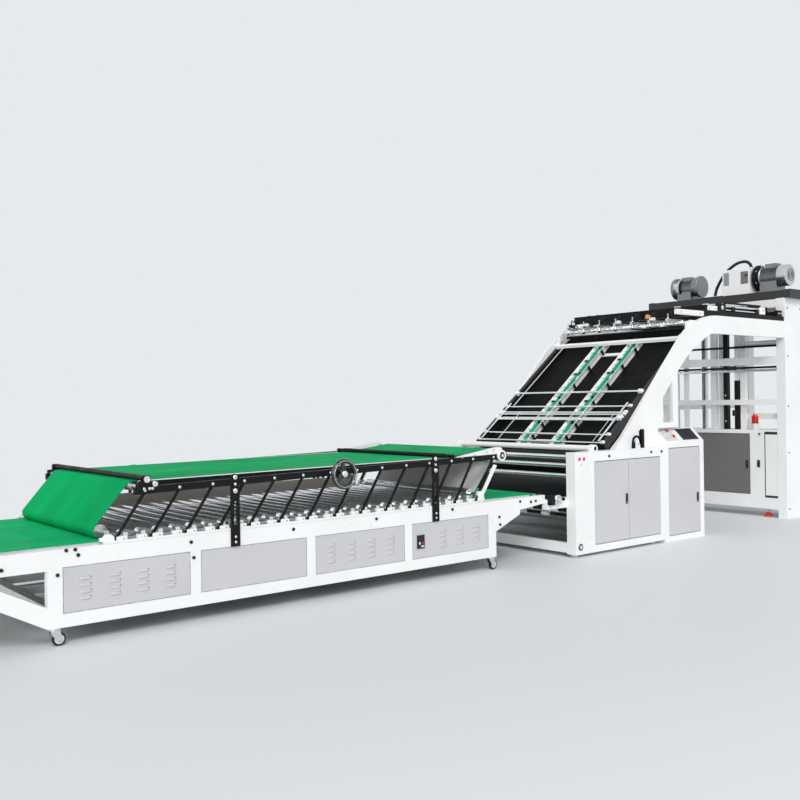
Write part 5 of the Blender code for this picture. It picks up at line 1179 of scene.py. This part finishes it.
def head_details():
    """Suction cups, cross rods, end plates and the lamp of the sheet feeder head."""
    rows = []
    for index in range(7):
        rows += sucker(-0.75 + 0.25 * index, WHITE if index % 2 else BLACK)
    make("feeder_suckers", "black_rubber", rows)
    sides = on_both([
        (WHITE, "slab", ((1.66, 2.255), (1.90, 2.40), (1.90, 2.475), (1.72, 2.475),
                         (1.655, 2.45), (1.64, 2.31)), 0.935, 0.962),
        *[(WHITE, "box", (1.685, y - 0.03, 2.42), (1.718, y + 0.03, 2.463), 0.003)
          for y in (0.60, 0.34)],
        *[(ZINC, "hex_bolt", (x, 0.9345, z), NEAR, 0.009, 0.009)
          for x, z in ((1.70, 2.44), (1.79, 2.385), (1.68, 2.33))]])
    make("head_rods", "roller_steel", [
        (CHROME, "rod", (1.70, -0.945, 2.44), (1.70, 0.945, 2.44), 0.012),
        (BLACK, "rod", (1.79, -0.945, 2.385), (1.79, 0.945, 2.385), 0.017),
        (BLACK, "rod", (TOP_X, 0.575, TOP_Z), (TOP_X, 0.915, TOP_Z), 0.036, 28),
        (BLACK, "box", (1.84, 0.62, 2.475), (1.89, 0.66, 2.50), 0.003),
        (BLACK, "box", (1.84, 0.83, 2.475), (1.89, 0.87, 2.50), 0.003),
        (WHITE, "rod", (TOP_X, 0.66, TOP_Z), (TOP_X, 0.83, TOP_Z), 0.0385, 28),
        (ZINC, "rod", (TOP_X, 0.50, TOP_Z), (TOP_X, 0.575, TOP_Z), 0.012)] + sides)
    make("head_lamp", "black_paint", (
        (AMBER, "lathe", (TOP_X, -0.27, 2.545), UP,
         ((0, 0.028), (0.035, 0.028), (0.048, 0.022), (0.054, 0.010)), 24),
        (DARK_PLASTIC, "lathe", (TOP_X, -0.27, 2.475), UP,
         ((0, 0.022), (0.05, 0.022), (0.055, 0.031), (0.072, 0.031)), 24)))


def carriage_details():
    """White and black parts on the carriage between the arch and the tower deck."""
    for (label, frame), start in zip(SIDES, (1.43, 1.86)):
        bolts = ((start + (0.07 if start < 1.5 else 0.05), 2.558), (1.88, 2.558), (2.07, 2.63),
                 (2.20, 2.63), (3.265, 2.66), (3.64, 2.64), (3.69, 2.64))
        make("carriage_parts_" + label, "white_paint", [
            (WHITE, "box", (start, 0.945, 2.528), (1.96, 0.99, 2.588), 0.004),
            (WHITE, "box", (2.03, 0.945, 2.598), (2.24, 0.99, 2.66), 0.005),
            (WHITE, "box", (3.21, 0.945, 2.598), (3.32, 0.99, 2.70), 0.012),
            (BLACK, "box", (2.26, 0.945, 2.598), (2.42, 0.99, 2.70), 0.004),
            (BLACK, "box", (3.60, 0.945, 2.598), (3.72, 0.99, 2.68), 0.004),
            (BLACK, "box", (2.44, 0.953, 2.70), (3.22, 0.982, 2.72), 0.002),
            (CHROME, "rod", (2.42, 0.967, 2.625), (3.21, 0.967, 2.625), 0.011),
            (CHROME, "rod", (2.42, 0.967, 2.67), (3.21, 0.967, 2.67), 0.014),
            (CHROME, "lathe", (2.34, 0.989, 2.648), OUT,
             ((0, 0.026), (0.007, 0.026), (0.007, 0.014)), 24),
            *[(ZINC, "hex_bolt", (x, 0.9895, z), OUT, 0.008, 0.008) for x, z in bolts]],
             frame=frame)
    rows = []
    for x in (2.45, 2.90):
        rows.append((CHROME, "rod", (x, -0.935, 2.70), (x, 0.935, 2.70), 0.014))
        rows += [(WHITE, "box", (x - 0.03, y - 0.035, 2.664), (x + 0.03, y + 0.035, 2.722), 0.004)
                 for y in (-0.70, -0.30, 0.30, 0.70)]
    make("carriage_top", "black_paint", rows)


# The feeder tower

FACE = 3.765
FOOT_X = 3.84
BEACON = (3.815, -0.54)
CHAIN_X, CHAIN_Y = 3.805, 0.22
CHAIN_PITCH = 0.025
CHAIN_LINKS = 58
DECK_X = 3.965
PUMP_FACE = 3.795
HOSE_PATH = ((0.12, 2.9513), (0.12, 2.99), (0.08, 3.11), (-0.04, 3.28), (-0.20, 3.39),
             (-0.34, 3.41), (-0.41, 3.37), (-0.43, 3.32), (-0.43, 3.2905))
HOSE_R = 0.02


def tower_front():
    """Fittings of the low cabinet: knob, latch, the narrow second panel, the red feet."""
    make("tower_latch", "black_paint", (
        (DARK_PLASTIC, "box", (FACE - 0.008, -0.632, 0.648), (FACE + 0.001, -0.592, 0.745), 0.002),
        (DARK_PLASTIC, "box", (FACE - 0.018, -0.622, 0.665), (FACE - 0.006, -0.602, 0.715), 0.003),
        (DARK_PLASTIC, "lathe", (FACE + 0.001, -0.628, 1.086), LEFT,
         ((0, 0.014), (0.010, 0.014), (0.013, 0.010)), 20),
        (CHROME, "lathe", (FACE - 0.007, -0.612, 0.73), LEFT, ((0, 0.006), (0.003, 0.005)), 16)))
    make("tower_side_panel", "white_paint", (
        (SEAL_BLACK, "box", (FACE - 0.002, -0.877, 0.255), (FACE + 0.001, -0.698, 1.118), 0.0008),
        (WHITE, "box", (FACE - 0.006, -0.876, 0.285), (FACE - 0.001, -0.712, 1.082), 0.001)))
    make("tower_door_latch", "black_paint", (
        (DARK_PLASTIC, "box", (FACE - 0.009, -0.462, 0.63), (FACE + 0.001, -0.432, 0.735), 0.002),
        (DARK_PLASTIC, "box", (FACE - 0.017, -0.455, 0.65), (FACE - 0.007, -0.439, 0.70), 0.003),
        (DARK_PLASTIC, "box", (FACE - 0.007, 0.285, 0.42), (FACE + 0.001, 0.318, 0.50), 0.002),
        (DARK_PLASTIC, "box", (FACE - 0.007, 0.285, 0.90), (FACE + 0.001, 0.318, 0.98), 0.002)),
         "tower_door")
    make("red_foot", "red_lamp", on_both((
        (RED_BUTTON, "lathe", (FOOT_X, 0.70, 0.002), UP,
         ((0, 0.045), (0.012, 0.052), (0.026, 0.052), (0.040, 0.036), (0.058, 0.020)), 30),
        (ZINC, "rod", (FOOT_X, 0.70, 0.055), (FOOT_X, 0.70, 0.118), 0.012),
        (ZINC, "lathe", (FOOT_X, 0.70, 0.075), UP,
         ((0, 0.022), (0.014, 0.022), (0.016, 0.018)), 6))))
    rib = ((0, 0.0405), (0.003, 0.0435), (0.006, 0.0435), (0.009, 0.0405))
    make("beacon_base", "white_paint", [
        *[(RED, "lathe", (*BEACON, 1.238 + 0.009 * index), UP, rib, 36) for index in range(9)],
        (WHITE_PLASTIC, "lathe", (*BEACON, 1.1395), UP,
         ((0, 0.047), (0.006, 0.047), (0.008, 0.046), (0.080, 0.0462), (0.086, 0.044)), 30),
        (DARK_PLASTIC, "lathe", (*BEACON, 1.224), UP,
         ((0, 0.0455), (0.010, 0.0462), (0.013, 0.043)), 30)])


def tower_inside():
    """Columns, chain, beams and rollers that show above the low cabinet."""
    make("lift_columns", "black_paint", [
        (BLACK, "box", (3.818, -0.142, 1.139), (3.882, -0.078, 2.60), 0.003),
        (BLACK, "box", (3.818, -0.30, 1.139), (3.882, -0.24, 1.80), 0.003),
        (WHITE, "box", (3.84, 0.045, 1.139), (3.90, 0.13, 2.60), 0.003),
        (WHITE, "box", (3.835, -0.40, 1.139), (3.89, -0.318, 2.60), 0.003),
        (WHITE, "box", (3.90, -0.075, 1.139), (3.94, 0.04, 2.60), 0.003),
        (DARK_PLASTIC, "box", (3.80, -0.275, 1.32), (3.83, -0.215, 1.40), 0.004),
        (DARK_PLASTIC, "box", (3.80, -0.27, 1.93), (3.83, -0.16, 1.995), 0.004),
        *[(ZINC, "hex_bolt", (3.818, -0.11, z), LEFT, 0.008, 0.008)
          for z in (1.25, 1.60, 1.95, 2.25, 2.50)]])
    rows = []
    for index in range(CHAIN_LINKS):
        z = 1.15 + CHAIN_PITCH * index
        spread = 0.010 if index % 2 else 0.016
        rows += [(CHAIN, "box", (CHAIN_X - 0.01, y - 0.003, z - 0.019),
                  (CHAIN_X + 0.01, y + 0.003, z + 0.019), 0.002)
                 for y in (CHAIN_Y - spread, CHAIN_Y + spread)]
        rows.append((ZINC, "rod", (CHAIN_X, CHAIN_Y - 0.018, z - 0.0125),
                     (CHAIN_X, CHAIN_Y + 0.018, z - 0.0125), 0.006, 10))
    make("lift_chain", "black_paint", rows)
    make("tower_beams", "white_paint", [
        (WHITE, "box", (3.79, -0.884, 2.005), (3.83, 0.884, 2.10), 0.003),
        (WHITE, "box", (3.768, -0.884, 2.095), (3.83, 0.884, 2.103), 0.001),
        *[(material, "rod", (x, low, z), (x, high, z), radius)
          for material, x, z, low, high, radius in (
              (BLACK, 3.815, 1.965, -0.884, 0.884, 0.014),
              (BLACK, 3.795, 2.243, -0.884, 0.884, 0.015),
              (BLACK, 3.81, 1.525, -0.884, -0.38, 0.015),
              (CHROME, 3.80, 1.925, -0.884, 0.884, 0.017),
              (CHROME, 3.80, 1.523, -0.38, 0.884, 0.009),
              (CHROME, 3.83, 1.50, -0.884, -0.38, 0.013))],
        *[(ZINC, "hex_bolt", (3.7895, y, 2.055), LEFT, 0.009, 0.008)
          for y in (-0.80, -0.55, 0.35, 0.70)]])


def tower_outside():
    """Screws on the tower's sides, and dark edge strips along its deck."""
    places = [*itertools.product((3.83, 4.15), (0.12, 0.85, 1.45, 2.1, 2.72)),
              *itertools.product((4.8, 5.5, 6.2), (0.08, 1.45, 2.74))]
    mirrored("tower_screws", "white_paint",
             [(SCREW_BLACK, "socket_screw", (x, 0.999, z), OUT, 0.010, 0.007)
              for x, z in places])
    make("deck_rails", "dark_sheet", [
        *on_both([
            (DARK_SHEET, "box", (3.77, 1.0, 2.948), (6.26, 1.079, 2.958), 0.002),
            *[(ZINC, "hex_bolt", (3.86 + 0.29 * step, 1.04, 2.9575), UP, 0.008, 0.008)
              for step in range(9)]]),
        (BLACK, "box", (3.80, -0.30, 2.948), (4.10, 0.30, 2.962), 0.002)])


def fan_motor(name, y_fan, y_face, z, radius, flange):
    """Fins, a flange and a slotted fan cover round a motor's body."""
    way = 1 if y_face > y_fan else -1
    length = abs(y_face - y_fan)
    low, high = sorted((y_fan + way * 0.30 * length, y_fan + way * 0.80 * length))
    rows = []
    for index in range(40):
        turn = 2 * math.pi * index / 40
        if math.sin(turn) >= -0.75:
            rows += [(None, "put", Matrix.Translation((DECK_X, 0, z))
                      @ Matrix.Rotation(-turn, 4, "Y")),
                     (CASTING, "box", (0.80 * radius, low, -0.0022),
                      (0.965 * radius, high, 0.0022), 0.0008)]
    face = y_face - way * 0.16 * length

    def turned(material, y, direction, profile, sides=48):
        """A turned form about the motor's axis, its radii shares of the body's."""
        rows.append((material, "lathe", (DECK_X, y, z), (0, direction, 0),
                     [(along, share * radius) for along, share in profile], sides))

    rows.append((None, "put", PLAIN))
    turned(flange, face, way, ((0, 0.985), (0.055 * length, 0.985), (0.057 * length, 1.215),
                               (0.063 * length, 1.228), (0.155 * length, 1.228),
                               (0.162 * length, 1.20)))
    turned(SILVER, y_fan + way * 0.28 * length, -way,
           ((0, 1.006), (0.23 * length, 1.006), (0.262 * length, 0.975),
            (0.283 * length, 0.76), (0.285 * length, 0.50)))
    if flange is not BLACK:
        turned(BLACK, y_fan + way * 0.27 * length, way,
               ((0, 1.0), (0.004, 1.05), (0.028, 1.05), (0.032, 1.0)))
    for ring in range(4):
        outer = 0.16 + 0.14 * ring
        inner = outer - 0.006 / radius
        turned(BLACK, y_fan - way * 0.002, -way,
               ((0, outer), (0.0022, outer), (0.0022, inner), (0, inner)), 36)
    for index in range(6):
        turn = 2 * math.pi * (index + 0.5) / 6
        rows.append((ZINC, "hex_bolt", (DECK_X + 1.10 * radius * math.cos(turn),
                                        face + way * 0.058 * length,
                                        z + 1.10 * radius * math.sin(turn)),
                     (0, -way, 0), 0.008, 0.010))
    make(name, "motor_grey", rows)


def pump_details():
    """Grilles, a gauge and fittings on the vacuum pump."""
    rows = []
    for low, high, bottom, top, back in ((-0.20, -0.12, 3.09, 3.262, GRILLE),
                                         (-0.478, -0.372, 3.092, 3.255, DARK_PLASTIC)):
        rows.append((back, "box", (PUMP_FACE - 0.002, low, bottom),
                     (PUMP_FACE + 0.001, high, top), 0.0006))
        count = int((high - low) / 0.012)
        for index in range(count):
            y = low + 0.006 + index * (high - low - 0.006) / count
            rows.append((GRILLE, "box", (PUMP_FACE - 0.006, y, bottom + 0.004),
                         (PUMP_FACE - 0.0015, y + 0.0055, top - 0.004), 0.001))
    rows += [
        (DARK_PLASTIC, "box", (PUMP_FACE - 0.010, -0.470, 3.185),
         (PUMP_FACE - 0.004, -0.440, 3.215), 0.001),
        (WHITE, "box", (3.805, -0.49, 3.288), (4.155, -0.11, 3.298), 0.003),
        (CHROME, "lathe", (DECK_X, -0.20, 3.297), UP,
         ((0, 0.022), (0.012, 0.022), (0.014, 0.016), (0.040, 0.015), (0.043, 0.011)), 24)]
    make("pump_grilles", "white_paint", rows)


def vacuum_hose():
    """The ribbed hose from the deck up and over into the pump, with a cuff at each end."""
    path = smooth([(DECK_X, y, z) for y, z in HOSE_PATH], 18)
    hose = make("hose_line", "black_rubber", [(RUBBER, "sweep", path, HOSE_R, 24, 0.0007)])
    make("hose_cuffs", "roller_steel",
         [(ZINC, "lathe", (DECK_X, y, z), UP,
           ((0, foot), (0.008, foot), (0.010, 0.026), (neck, 0.026), (neck + 0.002, 0.0225)), 28)
          for y, z, foot, neck in ((0.12, 2.9505, 0.034, 0.034), (-0.43, 3.2895, 0.032, 0.030))])
    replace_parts(hose, "vacuum_hose")


press_side()
strut_bearings()
rail_bolts()
roller_ends()
press_fittings()
handwheel()
upper_frames()
caster_trims()
cover_fittings()
desk()
unit_top()
entry_details()
table_rods()
channel_clips()
head_details()
carriage_details()
tower_front()
tower_inside()
tower_outside()
fan_motor("blower_dress", -0.98, -0.53, 3.1603, 0.14, BLACK)
fan_motor("drive_dress", 0.74, 0.32, 3.1378, 0.125, CASTING)
pump_details()
vacuum_hose()
make("far_cover_louvres", "grey_sheet",
     [(GREY_SHEET, "hood", 0.09 + 0.15 * column, 0.62 + 0.03 * row, 1.072, 0.10, 0.018, 0.005)
      for column in range(5) for row in range(9)])
